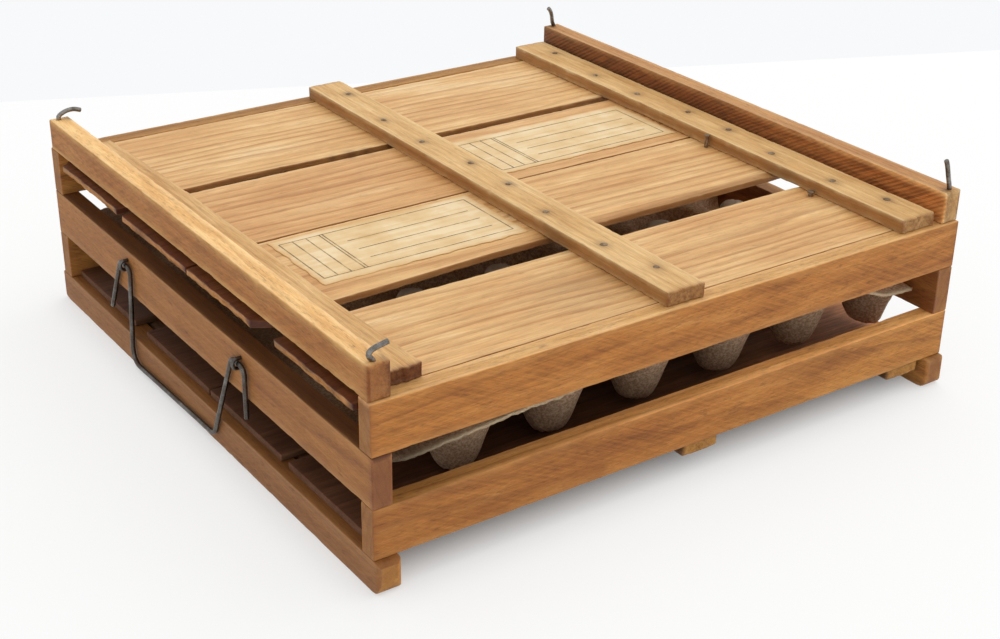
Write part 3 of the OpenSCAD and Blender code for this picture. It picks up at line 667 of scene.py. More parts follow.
lidBoards = {
    "lid_board_1": {"seed": 21, "tone": 0.08, "pith": (75, -40), "rag": 1.0, "droop": 2.7,
                    "marks": backCorner,
                    "spots": [((-33.0, 74.5), 2.6, 0.9), ((-24.0, 74.0), 2.0, 0.8),
                              ((-44.0, 74.2), 1.6, 0.7)]},
    "lid_board_2": {"seed": 22, "tone": 0.03, "pith": (-66, 48), "droop": 3.4, "tint": (0.94, 0.88, 0.85),
                    "spots": [((-38.0, 66.8), 2.2, 0.8), ((-26.0, 66.4), 1.8, 0.7)]},
    "lid_board_3": {"seed": 23, "tone": 0.0, "pith": (70, 50), "rag": 0.7, "droop": 3.6, "marks": taper,
                    "wane": {"width": 4.8, "drop": 1.2, "grows": (-60, 10), "tint": (0.62, 0.52, 0.4)}},
    "lid_board_4": {"seed": 24, "tone": -0.02, "pith": (-58, -42), "droop": 3.3, "marks": frontEdge,
                    "spots": [((-27.0, -126.0), 22.0, 0.42)]},
}
# lid boards: the rail's shadow painted on each tongue's top and front near its end; end faces darker and
# oranger; front edges darker with painted shade
lidBase = dict(boardBase, longer=(tongue["longer"], 0), tongueShadow=(14.0, (0.76, 0.88, 0.92)),
               endRag=(0.9, 0.4), ragSize=2.8, endRough=0.6, endMottle=0.5,
               tints={"lowEnd": (0.72, 0.5, 0.25), "lowSide": (0.75, 0.6, 0.46)})
for node, own in lidBoards.items():
    makeBar(node, dict(lidBase, **own), pineLid, "lid", "board_wood")
# bottom boards: painted light on their tops, growing strongly towards the right; end faces a little bluer
bottomLightTints = {"top": [(0.85, 0.7, 0.64), (0.9, 0.75, 0.68), (1.5, 1.35, 1.2), (4.4, 4.0, 3.2)],
               "lowEnd": (1.0, 0.97, 1.12)}
bottomBoards = {
    "bottom_board_1": {"seed": 31, "tone": 0.0, "pith": (60, -50)},
    "bottom_board_2": {"seed": 32, "tone": 0.03, "pith": (25, -50)},
    "bottom_board_3": {"seed": 33, "tone": 0.0, "pith": (-10, -50)},
    "bottom_board_4": {"seed": 34, "tone": 0.03, "pith": (-45, -50)},
}
for node, own in bottomBoards.items():
    makeBar(node, dict(boardBase, tints=bottomLightTints, **own), roughBoard, "crate", "board_wood")

battenBase = dict(barBase, along="y", step=1.3, endRound=0.7, round=0.5, chip=0.6, uSteps=15, vSteps=5,
                  rag=0.15, endRough=1.2, uneven=0.15)
battenWidth = 21.0
lidDip = ((-150, -90, 60, 154), (0, 1.8, 1.8, 5.0))    # places along y, and how far the left batten has sunk
lidBattens = {
    "lid_batten_left": {"seed": 41, "tone": -0.08, "endRag": (2.0, 1.0), "longer": (4.0, 0), "rubbed": 0.25,
                        "nailStain": (1.4, 0.3), "dip": lidDip, "tint": (1.03, 1.04, 1.08),
                        "tints": {"lowEnd": (0.4, 0.26, 0.22)}},
    "lid_batten_middle": {"seed": 42, "tone": 0.03, "width": battenWidth, "endRag": (1.0, 0.8),
                          "ragSize": 1.5, "tints": {"lowEnd": (0.85, 0.74, 0.62)}},
    "lid_batten_right": {"seed": 43, "tone": -0.01, "width": battenWidth, "endRag": (1.0, 0.8)},
}
for node, own in lidBattens.items():
    spots = [(place, *own.get("nailStain", nails["stain"])) for place in lidNails]
    makeBar(node, dict(battenBase, spots=spots, pith=(40, -35), **own), pineBatten, "lid", "batten_wood")
bottomBattens = {
    "bottom_batten_left": {"seed": 51},
    "bottom_batten_middle": {"seed": 52},
    "bottom_batten_right": {"seed": 53, "longer": (7.0, 0)},
}
# painted light: the bottom battens' front ends are much lighter
wornBase = dict(battenBase, spots=[(place, *nails["stain"]) for place in bottomNails], step=2.0, tone=-0.05,
                pith=(-40, 35), endRound=2.0, round=1.3, chip=1.2, endRag=(1.4, 0.6),
                tints={"lowEnd": (2.9, 3.0, 1.6)})
for node, own in bottomBattens.items():
    makeBar(node, dict(wornBase, **own), roughBoard, "crate", "batten_wood")
print("boards and battens built")


# Iron and wire

def ironMaterial(name, look):
    material, tree = newMaterial(name)
    place = put(tree, "ShaderNodeTexCoord")
    blotch = put(tree, "ShaderNodeTexNoise", {"Vector": (place, "Object"), "Scale": 1 / (look["blotch"] * mm),
                 "Detail": 4.0, "Roughness": 0.65})
    grit = put(tree, "ShaderNodeTexNoise", {"Vector": (place, "Object"), "Scale": 1 / (look["grit"] * mm),
               "Detail": 2.0})
    colour = put(tree, "ShaderNodeValToRGB", {0: blotch}, stops=look["tones"])
    rust = put(tree, "ShaderNodeMapRange", {"Value": blotch, "From Min": 0.5, "From Max": 0.68, "To Min": 1.0,
               "To Max": look["rustMetal"]})
    rough = put(tree, "ShaderNodeMapRange", {"Value": grit, "From Min": 0.3, "From Max": 0.7,
                "To Min": look["rough"] - 0.08, "To Max": look["rough"] + 0.15})
    bump = put(tree, "ShaderNodeBump", {"Height": grit, "Strength": 0.35, "Distance": 0.12 * mm})
    shader = put(tree, "ShaderNodeBsdfPrincipled", {"Base Color": colour, "Metallic": rust,
                 "Roughness": rough, "Normal": bump})
    put(tree, "ShaderNodeOutputMaterial", {"Surface": shader})
    return material


# drawn steel wire gone dark, with bare glints and a little brown rust
wireLook = {"tones": [(0.3, "#7d7974"), (0.5, "#5a5550"), (0.62, "#4d4036"), (0.75, "#5a4233")],
            "blotch": 7.0, "grit": 0.7, "rough": 0.3, "rustMetal": 0.5}
# cut iron nails, grey and rubbed on top
nailLook = {"tones": [(0.3, "#b5a288"), (0.5, "#8a745c"), (0.65, "#66503c"), (0.8, "#5a4230")],
            "blotch": 2.0, "grit": 0.6, "rough": 0.55, "rustMetal": 0.2}
# hooks of the same wire, rubbed bright by hands and lids
hookLook = dict(wireLook, rough=0.28,
                tones=[(0.3, "#a5a19b"), (0.5, "#78736d"), (0.62, "#584b41"), (0.75, "#4c3e35")])
darkWire = ironMaterial("dark_drawn_wire", wireLook)
brightWire = ironMaterial("rubbed_drawn_wire", hookLook)
nailIron = ironMaterial("dull_nail_iron", nailLook)


def bentRoute(points, bends, steps=8):
    # a route through the points with an arc of the given bend at each inner point
    points = [np.array(p, float) for p in points]
    route = [points[0]]
    for before, corner, after, bend in zip(points, points[1:], points[2:], bends):
        inward = (before - corner) / np.linalg.norm(before - corner)
        onward = (after - corner) / np.linalg.norm(after - corner)
        half = math.acos(np.clip(inward @ onward, -1, 1)) / 2
        middle = corner + (inward + onward) / np.linalg.norm(inward + onward) * bend / math.sin(half)
        start, stop = corner + inward * bend / math.tan(half), corner + onward * bend / math.tan(half)
        a, b = start - middle, stop - middle
        turn = math.pi - 2 * half
        for t in np.linspace(0, 1, steps):
            route.append(middle + (a * math.sin((1 - t) * turn) + b * math.sin(t * turn)) / math.sin(turn))
    return np.array(route + [points[-1]])


def evenRoute(route, step):
    # the same route with points a step apart
    gone = np.concatenate([[0], np.cumsum(np.linalg.norm(np.diff(route, axis=0), axis=1))])
    places = np.linspace(0, gone[-1], max(4, round(gone[-1] / step)))
    return np.column_stack([np.interp(places, gone, route[:, k]) for k in range(3)])


def smoothRoute(points, steps=8):
    # a soft curve through the points
    points = np.array([points[0]] + list(points) + [points[-1]], float)
    route = []
    for a, b, c, d in zip(points, points[1:], points[2:], points[3:]):
        for t in np.linspace(0, 1, steps, endpoint=False):
            route.append(0.5 * (2 * b + (c - a) * t + (2 * a - 5 * b + 4 * c - d) * t ** 2
                                + (3 * b - a - 3 * c + d) * t ** 3))
    return np.array(route + [points[-1]])


def sweepWire(route, diameter, seed, sides=12):
    # a round wire along the route with softly cut ends, as points and faces
    ahead = np.gradient(route, axis=0)
    ahead /= np.linalg.norm(ahead, axis=1)[:, None]
    across = np.cross(ahead[0], (0.3, 0.5, 0.8))      # any way but the wire's own
    points = []
    radius = diameter / 2 * (1 + wire["uneven"] * bumps(np.arange(len(route)), 0, wire["unevenRun"], 1, seed))
    rings = [(0, share, -shift) for share, shift in wire["cut"]]
    rings += [(i, 1.0, 0.0) for i in range(len(route))]
    rings += [(-1, share, shift) for share, shift in reversed(wire["cut"])]
    for i, share, shift in rings:
        across = across - ahead[i] * (across @ ahead[i])
        across /= np.linalg.norm(across)
        other = np.cross(ahead[i], across)
        for angle in np.linspace(0, 2 * math.pi, sides, endpoint=False):
            ray = across * math.cos(angle) + other * math.sin(angle)
            points.append(route[i] + ahead[i] * shift + ray * radius[i] * share)
    faces = ringFaces(range(len(rings)), sides)
    faces += [tuple(reversed(range(sides))), tuple(len(points) - sides + j for j in range(sides))]
    return points, faces


def joinShapes(shapes):
    points, faces = [], []
    for shapePoints, shapeFaces in shapes:
        faces += [tuple(i + len(points) for i in face) for face in shapeFaces]
        points += list(shapePoints)
    return points, faces


# the drawn wire: how uneven it is, and its cut ends as shares of the radius and mm past the end
wire = {"diameter": 2.4, "step": 1.0, "uneven": 0.03, "unevenRun": 6,
        "cut": [(0.02, 0.25), (0.6, 0.25), (0.92, 0.1)]}
# the pins: where the route starts above the pin's lower end, and two places on it below the rail's top
pinWire = {"foot": 0.3, "straight": (-4, -1.5), "seed": 80}
# hooks above the rail: (x from the pin, z above the rail)
hooks = {
    "pin_front_left": [(-0.6, 0.6), (-2.0, 2.2), (-1.8, 4.0), (0.4, 5.2), (3.6, 5.9), (6.5, 6.5)],
    "pin_back_left": [(-0.6, 0.7), (-0.2, 2.0), (2.1, 3.4), (4.9, 4.2), (8.2, 4.2), (11.6, 3.1)],
    "pin_front_right": [(-0.4, 1.2), (-1.0, 3.6), (-1.9, 6.3), (-3.1, 10.4), (-4.0, 13.2), (-5.1, 15.6)],
    "pin_back_right": [(-0.8, 1.0), (-1.6, 2.8), (-2.0, 5.4), (-2.5, 7.9), (-3.6, 10.4), (-4.9, 11.8)],
}
pinBodies = {"pin_front_left": "front_left_pin", "pin_front_right": "front_right_pin",
             "pin_back_left": "back_left_pin", "pin_back_right": "back_right_pin"}
joints = {joint["child"]: joint for joint in frame["joints"]}
for i, (node, bend) in enumerate(hooks.items()):
    x, y, z = (value / mm for value in joints[pinBodies[node]]["pos_m"])
    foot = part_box(node)[0][2] / mm + pinWire["foot"]
    straight = [(x, y, z + dz) for dz in pinWire["straight"]]
    curve = smoothRoute(straight + [(x + dx, y, z + dz) for dx, dz in bend])
    route = evenRoute(np.concatenate([[(x, y, foot)], curve]), wire["step"])
    points, faces = sweepWire(route, wire["diameter"], pinWire["seed"] + i)
    fit(newPiece(node + "_wire", points, faces, brightWire), pinBodies[node], "steel_wire", node)

bailBox = [np.array(corner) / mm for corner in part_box("bail_handle")]
stapleBox = [np.array(corner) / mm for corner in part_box("bail_staples")]
bail = {
    "x": joints["bail"]["pos_m"][0] / mm, "hinge": joints["bail"]["pos_m"][2] / mm,
    "staples": (70.5, -52.5), "arch": 6.0, "bar": bailBox[0][2] + wire["diameter"] / 2,
    "frontInset": 24.0, "frontRise": 3.0, "backSplay": 7.0, "tailSplay": 16.0, "backDrop": 31.0,
    "frontDrop": 25.0, "archBend": 3.5, "barBend": 7.0, "seed": 90,
    "stapleWire": 1.8, "stapleEnd": 0.3, "stapleFlat": 0.3, "stapleStep": 0.6, "stapleSeed": 95,
}
back, front = bail["staples"]
hinge, arch = bail["hinge"], bail["arch"]
bailPoints = [
    (back + arch + bail["tailSplay"], hinge - bail["backDrop"]), (back + arch, hinge), (back - arch, hinge),
    (back - arch + bail["backSplay"], bail["bar"]),
    (front + arch + bail["frontInset"], bail["bar"] + bail["frontRise"]),
    (front + arch, hinge), (front - arch, hinge), (front - arch, hinge - bail["frontDrop"]),
]
bends = [bail["archBend"]] * 2 + [bail["barBend"]] * 2 + [bail["archBend"]] * 2
route = evenRoute(bentRoute([(bail["x"], y, z) for y, z in bailPoints], bends), wire["step"])
points, faces = sweepWire(route, wire["diameter"], bail["seed"])
fit(newPiece("bail_wire", points, faces, darkWire), "bail", "steel_wire", "bail_handle")

stapleX = stapleBox[0][0] + bail["stapleWire"] / 2
stapleDeep = stapleBox[1][0] - bail["stapleEnd"]
stapleHalf = (stapleBox[1][2] - stapleBox[0][2] - bail["stapleWire"]) / 2
shapes = []
for i, y in enumerate(bail["staples"]):
    corners = [(stapleDeep, y, hinge + stapleHalf), (stapleX, y, hinge + stapleHalf),
               (stapleX, y, hinge - stapleHalf), (stapleDeep, y, hinge - stapleHalf)]
    route = evenRoute(bentRoute(corners, [stapleHalf - bail["stapleFlat"]] * 2), bail["stapleStep"])
    shapes.append(sweepWire(route, bail["stapleWire"], bail["stapleSeed"] + i))
points, faces = joinShapes(shapes)
fit(newPiece("bail_staples_wire", points, faces, darkWire), "crate", "steel_wire", "bail_staples")
print("wires bent")


# Geometry Nodes: trees with named inputs, baked to plain meshes

def newTree(name, inputs):
    tree = bpy.data.node_groups.new(name, "GeometryNodeTree")
    tree.interface.new_socket("Geometry", in_out="INPUT", socket_type="NodeSocketGeometry")
    for key, value in inputs.items():
        kind = "NodeSocketInt" if isinstance(value, int) else "NodeSocketFloat"
        tree.interface.new_socket(key, in_out="INPUT", socket_type=kind)
    tree.interface.new_socket("Geometry", in_out="OUTPUT", socket_type="NodeSocketGeometry")
    return tree, put(tree, "NodeGroupInput")


def bakeTree(name, tree, inputs, points=(), thickness=0.0):
    # runs the tree on the points and leaves a plain mesh
    mesh = bpy.data.meshes.new(name)
    mesh.from_pydata([tuple(np.array(p) * mm) for p in points], [], [])
    piece = bpy.data.objects.new(name, mesh)
    scene.collection.objects.link(piece)
    modifier = piece.modifiers.new("rule", "NODES")
    modifier.node_group = tree
    for item in tree.interface.items_tree:
        if item.in_out == "INPUT" and item.name in inputs:
            modifier[item.identifier] = inputs[item.name]
    if thickness:
        wall = piece.modifiers.new("wall", "SOLIDIFY")
        wall.thickness = thickness
        wall.offset = 0.0
    evaluated = piece.evaluated_get(bpy.context.evaluated_depsgraph_get())
    piece.data = bpy.data.meshes.new_from_object(evaluated)
    piece.modifiers.clear()
    return piece


def nailTree(inputs):
    tree, given = newTree("nail_heads", inputs)
    # a flattened dome, turned and tilted a little on each point
    dome = put(tree, "GeometryNodeMeshUVSphere", {"Segments": 14, "Rings": 8,
               "Radius": (given, "Head Radius")})
    size = put(tree, "ShaderNodeCombineXYZ", {0: 1.0, 1: nails["oval"], 2: (given, "Flatness")})
    dome = put(tree, "GeometryNodeTransform", {"Geometry": dome, "Scale": size})
    most = nails["lean"]
    lean = put(tree, "FunctionNodeRandomValue", {"Min": (-most, -most, 0.0),
               "Max": (most, most, nails["turn"]), "Seed": (given, "Seed")}, data_type="FLOAT_VECTOR")
    small, large = nails["scale"]
    scale = put(tree, "FunctionNodeRandomValue", {"Min": small, "Max": large, "Seed": (given, "Seed")},
                data_type="FLOAT")
    heads = put(tree, "GeometryNodeInstanceOnPoints", {"Points": (given, "Geometry"), "Instance": dome,
                "Rotation": lean, "Scale": scale})
    solid = put(tree, "GeometryNodeRealizeInstances", {"Geometry": heads})
    smooth = put(tree, "GeometryNodeSetShadeSmooth", {"Geometry": solid})
    done = put(tree, "GeometryNodeSetMaterial", {"Geometry": smooth, "Material": nailIron})
    put(tree, "NodeGroupOutput", {"Geometry": done})
    return tree


nailInputs = {"Head Radius": nails["headWidth"] / 2 * mm, "Flatness": nails["flatness"],
              "Seed": nails["seed"]}
nailHeads = nailTree(nailInputs)
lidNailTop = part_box("lid_batten_middle")[1][2] / mm
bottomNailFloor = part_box("bottom_batten_middle")[0][2] / mm
heads = []
for x, y in lidNails:
    sunk = nails["sunk"] + np.interp(y, *lidDip) if x < nails["sunkBefore"] else nails["driven"]
    heads.append((x, y, lidNailTop - sunk))
piece = bakeTree("lid_nail_heads", nailHeads, nailInputs, heads)
fit(piece, "lid", "nail_iron", "lid_nails")
# two nails beside the right batten that were never driven home
strays = {
    "stray_lid_nail": {"place": (128.1, -21.6), "high": 6.3, "lean": 0.4, "diameter": 2.1, "head": 3.0},
    "stray_lid_nail_front": {"place": (126.6, -102.4), "high": 2.0, "lean": 0.2, "diameter": 2.4,
                             "head": 4.0},
}
strayShared = {"low": -2.0, "headThick": 0.5, "step": 1.0, "headStep": 0.2, "seed": 98}
for name, stray in strays.items():
    base = np.array([stray["place"][0] + crateMiddle, stray["place"][1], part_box("lid_board_3")[1][2] / mm])
    top = base + [stray["lean"], 0, stray["high"]]
    shank = evenRoute(np.array([base + [0, 0, strayShared["low"]], top]), strayShared["step"])
    head = evenRoute(np.array([top, top + [0, 0, strayShared["headThick"]]]), strayShared["headStep"])
    points, faces = joinShapes([sweepWire(shank, stray["diameter"], strayShared["seed"]),
                                sweepWire(head, stray["head"], strayShared["seed"] + 1)])
    fit(newPiece(name, points, faces, nailIron), "lid", "nail_iron")
heads = [(x, y, bottomNailFloor + nails["driven"]) for x, y in bottomNails]
piece = bakeTree("bottom_nail_heads", nailHeads, nailInputs, heads)
fit(piece, "crate", "nail_iron", "bottom_nails")
print("nails driven")


# moulded paper pulp: felted grey brown fibres, matt and rough, paler where it is torn
def pulpMaterial():
    material, tree = newMaterial("moulded_pulp")
    place = put(tree, "ShaderNodeTexCoord")
    felt = put(tree, "ShaderNodeTexNoise", {"Vector": (place, "Object"),
               "Scale": 1 / (pulpLook["felt"] * mm), "Detail": 5.0, "Roughness": 0.8, "Distortion": 0.2})
    mixed = put(tree, "ShaderNodeMath", {0: felt, 1: pulpLook["lighter"]}, operation="ADD")
    colour = put(tree, "ShaderNodeValToRGB", {0: mixed}, stops=pulpLook["tones"])
    # painted shade along the left edge, under the lid's tongues
    along = put(tree, "ShaderNodeSeparateXYZ", {0: (place, "Object")})
    leftShade = put(tree, "ShaderNodeMapRange", {"Value": (along, "X"), "From Min": pulpLook["shadeFull"] * mm,
               "From Max": pulpLook["shadeEnds"] * mm, "To Min": pulpLook["shadeDark"], "To Max": 1.0})
    # painted light: the posts' tops are pale where light falls on them through the gaps of the lid
    rubbed = put(tree, "ShaderNodeMapRange", {"Value": (along, "Z"), "From Min": pulpLook["litFrom"] * mm,
                 "From Max": pulpLook["litFull"] * mm, "To Max": pulpLook["litDepth"]})
    colour = put(tree, "ShaderNodeMix", {"Factor": rubbed, "A": colour, "B": hexColour(pulpLook["rubbed"])},
                 data_type="RGBA")
    torn = put(tree, "ShaderNodeAttribute", attribute_name="torn")
    ragged = put(tree, "ShaderNodeMapRange", {"Value": felt, "From Min": 0.3, "From Max": 0.6, "To Min": 0.5})
    amount = put(tree, "ShaderNodeMath", {0: (torn, "Fac"), 1: ragged}, operation="MULTIPLY", use_clamp=True)
    colour = put(tree, "ShaderNodeMix", {"Factor": amount, "A": colour, "B": hexColour(pulpLook["torn"])},
                 data_type="RGBA")
    colour = put(tree, "ShaderNodeMix", {"Factor": 1.0, "A": colour, "B": leftShade}, data_type="RGBA",
                 blend_type="MULTIPLY")
    bump = put(tree, "ShaderNodeBump", {"Height": felt, "Strength": 0.9, "Distance": 1.0 * mm})
    shader = put(tree, "ShaderNodeBsdfPrincipled", {"Base Color": colour, "Roughness": 0.92, "Normal": bump,
                 "Specular IOR Level": 0.2, "IOR": 1.5})
    put(tree, "ShaderNodeOutputMaterial", {"Surface": shader})
    return material


# places in mm: the painted shade along x, the painted light on the posts' tops along z
pulpLook = {
    "tones": [(0.62, "#836752"), (0.82, "#ab886c"), (0.95, "#be9c7e"), (1.15, "#dcbd9c")],
    "felt": 1.3, "lighter": 0.45, "shadeFull": -135.0, "shadeEnds": -105.0, "shadeDark": 0.4,
    "rubbed": "#ece4d6", "litFrom": 55.0, "litFull": 66.0, "litDepth": 0.95, "torn": "#d6c2a0",
}
flatBox = [np.array(corner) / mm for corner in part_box("egg_flat")]
flat = {
    "pitch": 50.0, "wall": 1.6, "half": (flatBox[1][0] - flatBox[0][0]) / 2, "corner": 14.0, "grid": 1.5,
    "web": 52.7, "reach": 25.0, "seed": 5, "tornWide": 3.2, "rimWide": 1.4,
    # how far out cups and posts are moulded: to the left, to the right, to the front and back
    "cupLimits": (120.0, 999.0, 140.0), "postLimits": (130.0, 130.0, 110.0),
    # the front edge has warped, up on the right and down at both corners: how far, and where along x and y
    # each warp begins and is full
    "warps": {"Lift": {"by": 5.4, "X": (-132, -10), "Y": (-70, -135)},
              "Sag": {"by": -2.2, "X": (-90, -150), "Y": (-125, -152)},
              "Tip": {"by": -7.5, "X": (112, 140), "Y": (-120, -152)}},
    # rule of a cup and of a post: distance on the flat sheet, radius on the moulded one, height from the web
    "cup": [(0, 0, -32), (6.2, 7.0, -31.9), (7.8, 8.4, -30.2), (13.5, 13.6, -16), (18.5, 18.2, -4),
            (20.5, 20.4, -1.0), (25, 25, 0)],
    "post": [(0, 0, 13), (4.2, 4.9, 12.8), (5.6, 6.0, 11.9), (10, 9.0, 1.4), (11.4, 10.6, 0.2), (25, 25, 0)],
}


def flatTree(inputs, pulp):
    tree, given = newTree("moulded_flat", inputs)
    count = round(2 * flat["half"] / flat["grid"]) + 1
    grid = put(tree, "GeometryNodeMeshGrid", {"Size X": (given, "Side"), "Size Y": (given, "Side"),
               "Vertices X": count, "Vertices Y": count})
    place = put(tree, "GeometryNodeInputPosition")
    xyz = put(tree, "ShaderNodeSeparateXYZ", {0: place})
    pitch, half = (given, "Pitch"), flat["half"] * mm

    def nearest(axis, between):
        # the nearest cup or post along one axis, on or between whole pitches
        steps = put(tree, "ShaderNodeMath", {0: (xyz, axis), 1: pitch}, operation="DIVIDE")
        steps = put(tree, "ShaderNodeMath", {0: steps}, operation="FLOOR" if between else "ROUND")
        steps = put(tree, "ShaderNodeMath", {0: steps, 1: 0.5 if between else 0.0}, operation="ADD")
        return put(tree, "ShaderNodeMath", {0: steps, 1: pitch}, operation="MULTIPLY")

    def moulded(rule, xBetween, limits):
        # shift over the sheet and height, by the distance from the nearest cup or post
        x, y = nearest("X", xBetween), nearest("Y", not xBetween)
        centre = put(tree, "ShaderNodeCombineXYZ", {0: x, 1: y})
        flatPlace = put(tree, "ShaderNodeCombineXYZ", {0: (xyz, "X"), 1: (xyz, "Y")})
        away = put(tree, "ShaderNodeVectorMath", {0: flatPlace, 1: centre}, operation="SUBTRACT")
        far = put(tree, "ShaderNodeVectorMath", {0: away}, operation="LENGTH")
        share = put(tree, "ShaderNodeMath", {0: (far, "Value"), 1: flat["reach"] * mm}, operation="DIVIDE")
        share = put(tree, "ShaderNodeMath", {0: share, 1: 0.001}, operation="MAXIMUM")
        reach, top = flat["reach"], max(abs(z) for d, r, z in rule)
        wide = put(tree, "ShaderNodeFloatCurve", {"Value": share},
                   curve=[(d / reach, r / reach) for d, r, z in rule])
        tall = put(tree, "ShaderNodeFloatCurve", {"Value": share},
                   curve=[(d / reach, abs(z) / top) for d, r, z in rule])
        tall = put(tree, "ShaderNodeMath", {0: tall, 1: math.copysign(top * mm, rule[0][2])},
                   operation="MULTIPLY")
        mask = None
        for source, operation, limit in ((x, "GREATER_THAN", -limits[0]), (x, "LESS_THAN", limits[1]),
                                         (y, "GREATER_THAN", -limits[2]), (y, "LESS_THAN", limits[2])):
            inside = put(tree, "ShaderNodeMath", {0: source, 1: limit * mm}, operation=operation)
            mask = inside if mask is None else put(tree, "ShaderNodeMath", {0: mask, 1: inside},
                                                   operation="MULTIPLY")
        within = put(tree, "ShaderNodeMath", {0: share, 1: 1.0}, operation="LESS_THAN")
        mask = put(tree, "ShaderNodeMath", {0: mask, 1: within}, operation="MULTIPLY")
        pull = put(tree, "ShaderNodeMath", {0: wide, 1: share}, operation="DIVIDE")
        pull = put(tree, "ShaderNodeMath", {0: pull, 1: 1.0}, operation="SUBTRACT")
        pull = put(tree, "ShaderNodeMath", {0: pull, 1: mask}, operation="MULTIPLY")
        shift = put(tree, "ShaderNodeVectorMath", {0: away, "Scale": pull}, operation="SCALE")
        tall = put(tree, "ShaderNodeMath", {0: tall, 1: mask}, operation="MULTIPLY")
        return shift, tall

    cupShift, cupTall = moulded(flat["cup"], False, flat["cupLimits"])
    postShift, postTall = moulded(flat["post"], True, flat["postLimits"])

    # distance from the sheet's edge; the edge is torn and waves a little
    sizeX = put(tree, "ShaderNodeMath", {0: (xyz, "X")}, operation="ABSOLUTE")
    sizeY = put(tree, "ShaderNodeMath", {0: (xyz, "Y")}, operation="ABSOLUTE")
    most = put(tree, "ShaderNodeMath", {0: sizeX, 1: sizeY}, operation="MAXIMUM")
    inside = put(tree, "ShaderNodeMath", {0: half, 1: most}, operation="SUBTRACT")
    torn, rim = (put(tree, "ShaderNodeMapRange", {"Value": inside, "From Min": 0.2 * mm,
                 "From Max": wide * mm, "To Min": 1.0, "To Max": 0.0})
                 for wide in (flat["tornWide"], flat["rimWide"]))
    tear = put(tree, "ShaderNodeTexNoise", {"Vector": place, "W": (given, "Seed"), "Scale": 1 / (4 * mm),
               "Detail": 3.0, "Roughness": 0.7}, noise_dimensions="4D")
    tear = put(tree, "ShaderNodeMapRange", {"Value": tear, "From Min": 0.4, "From Max": 0.7, "To Max": 0.01})
    tear = put(tree, "ShaderNodeMath", {0: tear, 1: rim}, operation="MULTIPLY")
    tear = put(tree, "ShaderNodeMath", {0: tear, 1: -1.0}, operation="MULTIPLY")
    tearShift = put(tree, "ShaderNodeVectorMath", {0: place, "Scale": tear}, operation="SCALE")
    wave = put(tree, "ShaderNodeTexNoise", {"Vector": place, "W": (given, "Seed"), "Scale": 1 / (38 * mm),
               "Detail": 1.0}, noise_dimensions="4D")
    wave = put(tree, "ShaderNodeMapRange", {"Value": wave, "From Min": 0.25, "From Max": 0.75,
               "To Min": -1.3 * mm, "To Max": 0.9 * mm})
    felt = put(tree, "ShaderNodeTexNoise", {"Vector": place, "W": (given, "Seed"), "Scale": 1 / (5 * mm),
               "Detail": 3.0}, noise_dimensions="4D")
    felt = put(tree, "ShaderNodeMapRange", {"Value": felt, "From Min": 0.25, "From Max": 0.75,
               "To Min": -0.4 * mm, "To Max": 0.4 * mm})

    # round corners on the left
    straight = (flat["half"] - flat["corner"]) * mm
    cornerX = put(tree, "ShaderNodeMath", {0: (xyz, "X"), 1: -1.0, 2: -straight}, operation="MULTIPLY_ADD")
    cornerX = put(tree, "ShaderNodeMath", {0: cornerX, 1: 0.0}, operation="MAXIMUM")
    cornerY = put(tree, "ShaderNodeMath", {0: sizeY, 1: straight}, operation="SUBTRACT")
    cornerY = put(tree, "ShaderNodeMath", {0: cornerY, 1: 0.0}, operation="MAXIMUM")
    both = put(tree, "ShaderNodeCombineXYZ", {0: cornerX, 1: cornerY})
    out = put(tree, "ShaderNodeVectorMath", {0: both}, operation="LENGTH")
    out = put(tree, "ShaderNodeMath", {0: (out, "Value"), 1: flat["corner"] * mm}, operation="MAXIMUM")
    keep = put(tree, "ShaderNodeMath", {0: flat["corner"] * mm, 1: out}, operation="DIVIDE")
    drop = put(tree, "ShaderNodeMath", {0: 1.0, 1: keep}, operation="SUBTRACT")
    moveX = put(tree, "ShaderNodeMath", {0: cornerX, 1: drop}, operation="MULTIPLY")
    moveY = put(tree, "ShaderNodeMath", {0: cornerY, 1: drop}, operation="MULTIPLY")
    sideY = put(tree, "ShaderNodeMath", {0: (xyz, "Y")}, operation="SIGN")
    moveY = put(tree, "ShaderNodeMath", {0: moveY, 1: sideY}, operation="MULTIPLY")
    moveY = put(tree, "ShaderNodeMath", {0: moveY, 1: -1.0}, operation="MULTIPLY")

    # height: cups and posts, felt, waves along the edge and warps
    height = put(tree, "ShaderNodeMath", {0: cupTall, 1: postTall}, operation="ADD")
    height = put(tree, "ShaderNodeMath", {0: height, 1: felt}, operation="ADD")
    wave = put(tree, "ShaderNodeMath", {0: wave, 1: torn}, operation="MULTIPLY")
    height = put(tree, "ShaderNodeMath", {0: height, 1: wave}, operation="ADD")
    for key, rule in flat["warps"].items():
        warp = (given, key)
        for axis in "XY":
            none, full = rule[axis]
            part = put(tree, "ShaderNodeMapRange", {"Value": (xyz, axis), "From Min": none * mm,
                       "From Max": full * mm}, interpolation_type="SMOOTHSTEP")
            warp = put(tree, "ShaderNodeMath", {0: warp, 1: part}, operation="MULTIPLY")
        height = put(tree, "ShaderNodeMath", {0: height, 1: warp}, operation="ADD")
    height = put(tree, "ShaderNodeMath", {0: height, 1: (given, "Web")}, operation="ADD")
    rise = put(tree, "ShaderNodeCombineXYZ", {0: moveX, 1: moveY, 2: height})
    for more in (cupShift, postShift, tearShift):
        rise = put(tree, "ShaderNodeVectorMath", {0: rise, 1: more}, operation="ADD")
    stored = put(tree, "GeometryNodeStoreNamedAttribute", {"Geometry": (grid, "Mesh"), "Name": "torn",
                 "Value": torn}, data_type="FLOAT", domain="POINT")
    shaped = put(tree, "GeometryNodeSetPosition", {"Geometry": stored, "Offset": rise})
    placed = put(tree, "GeometryNodeTransform", {"Geometry": shaped, "Translation": (crateMiddle * mm, 0, 0)})
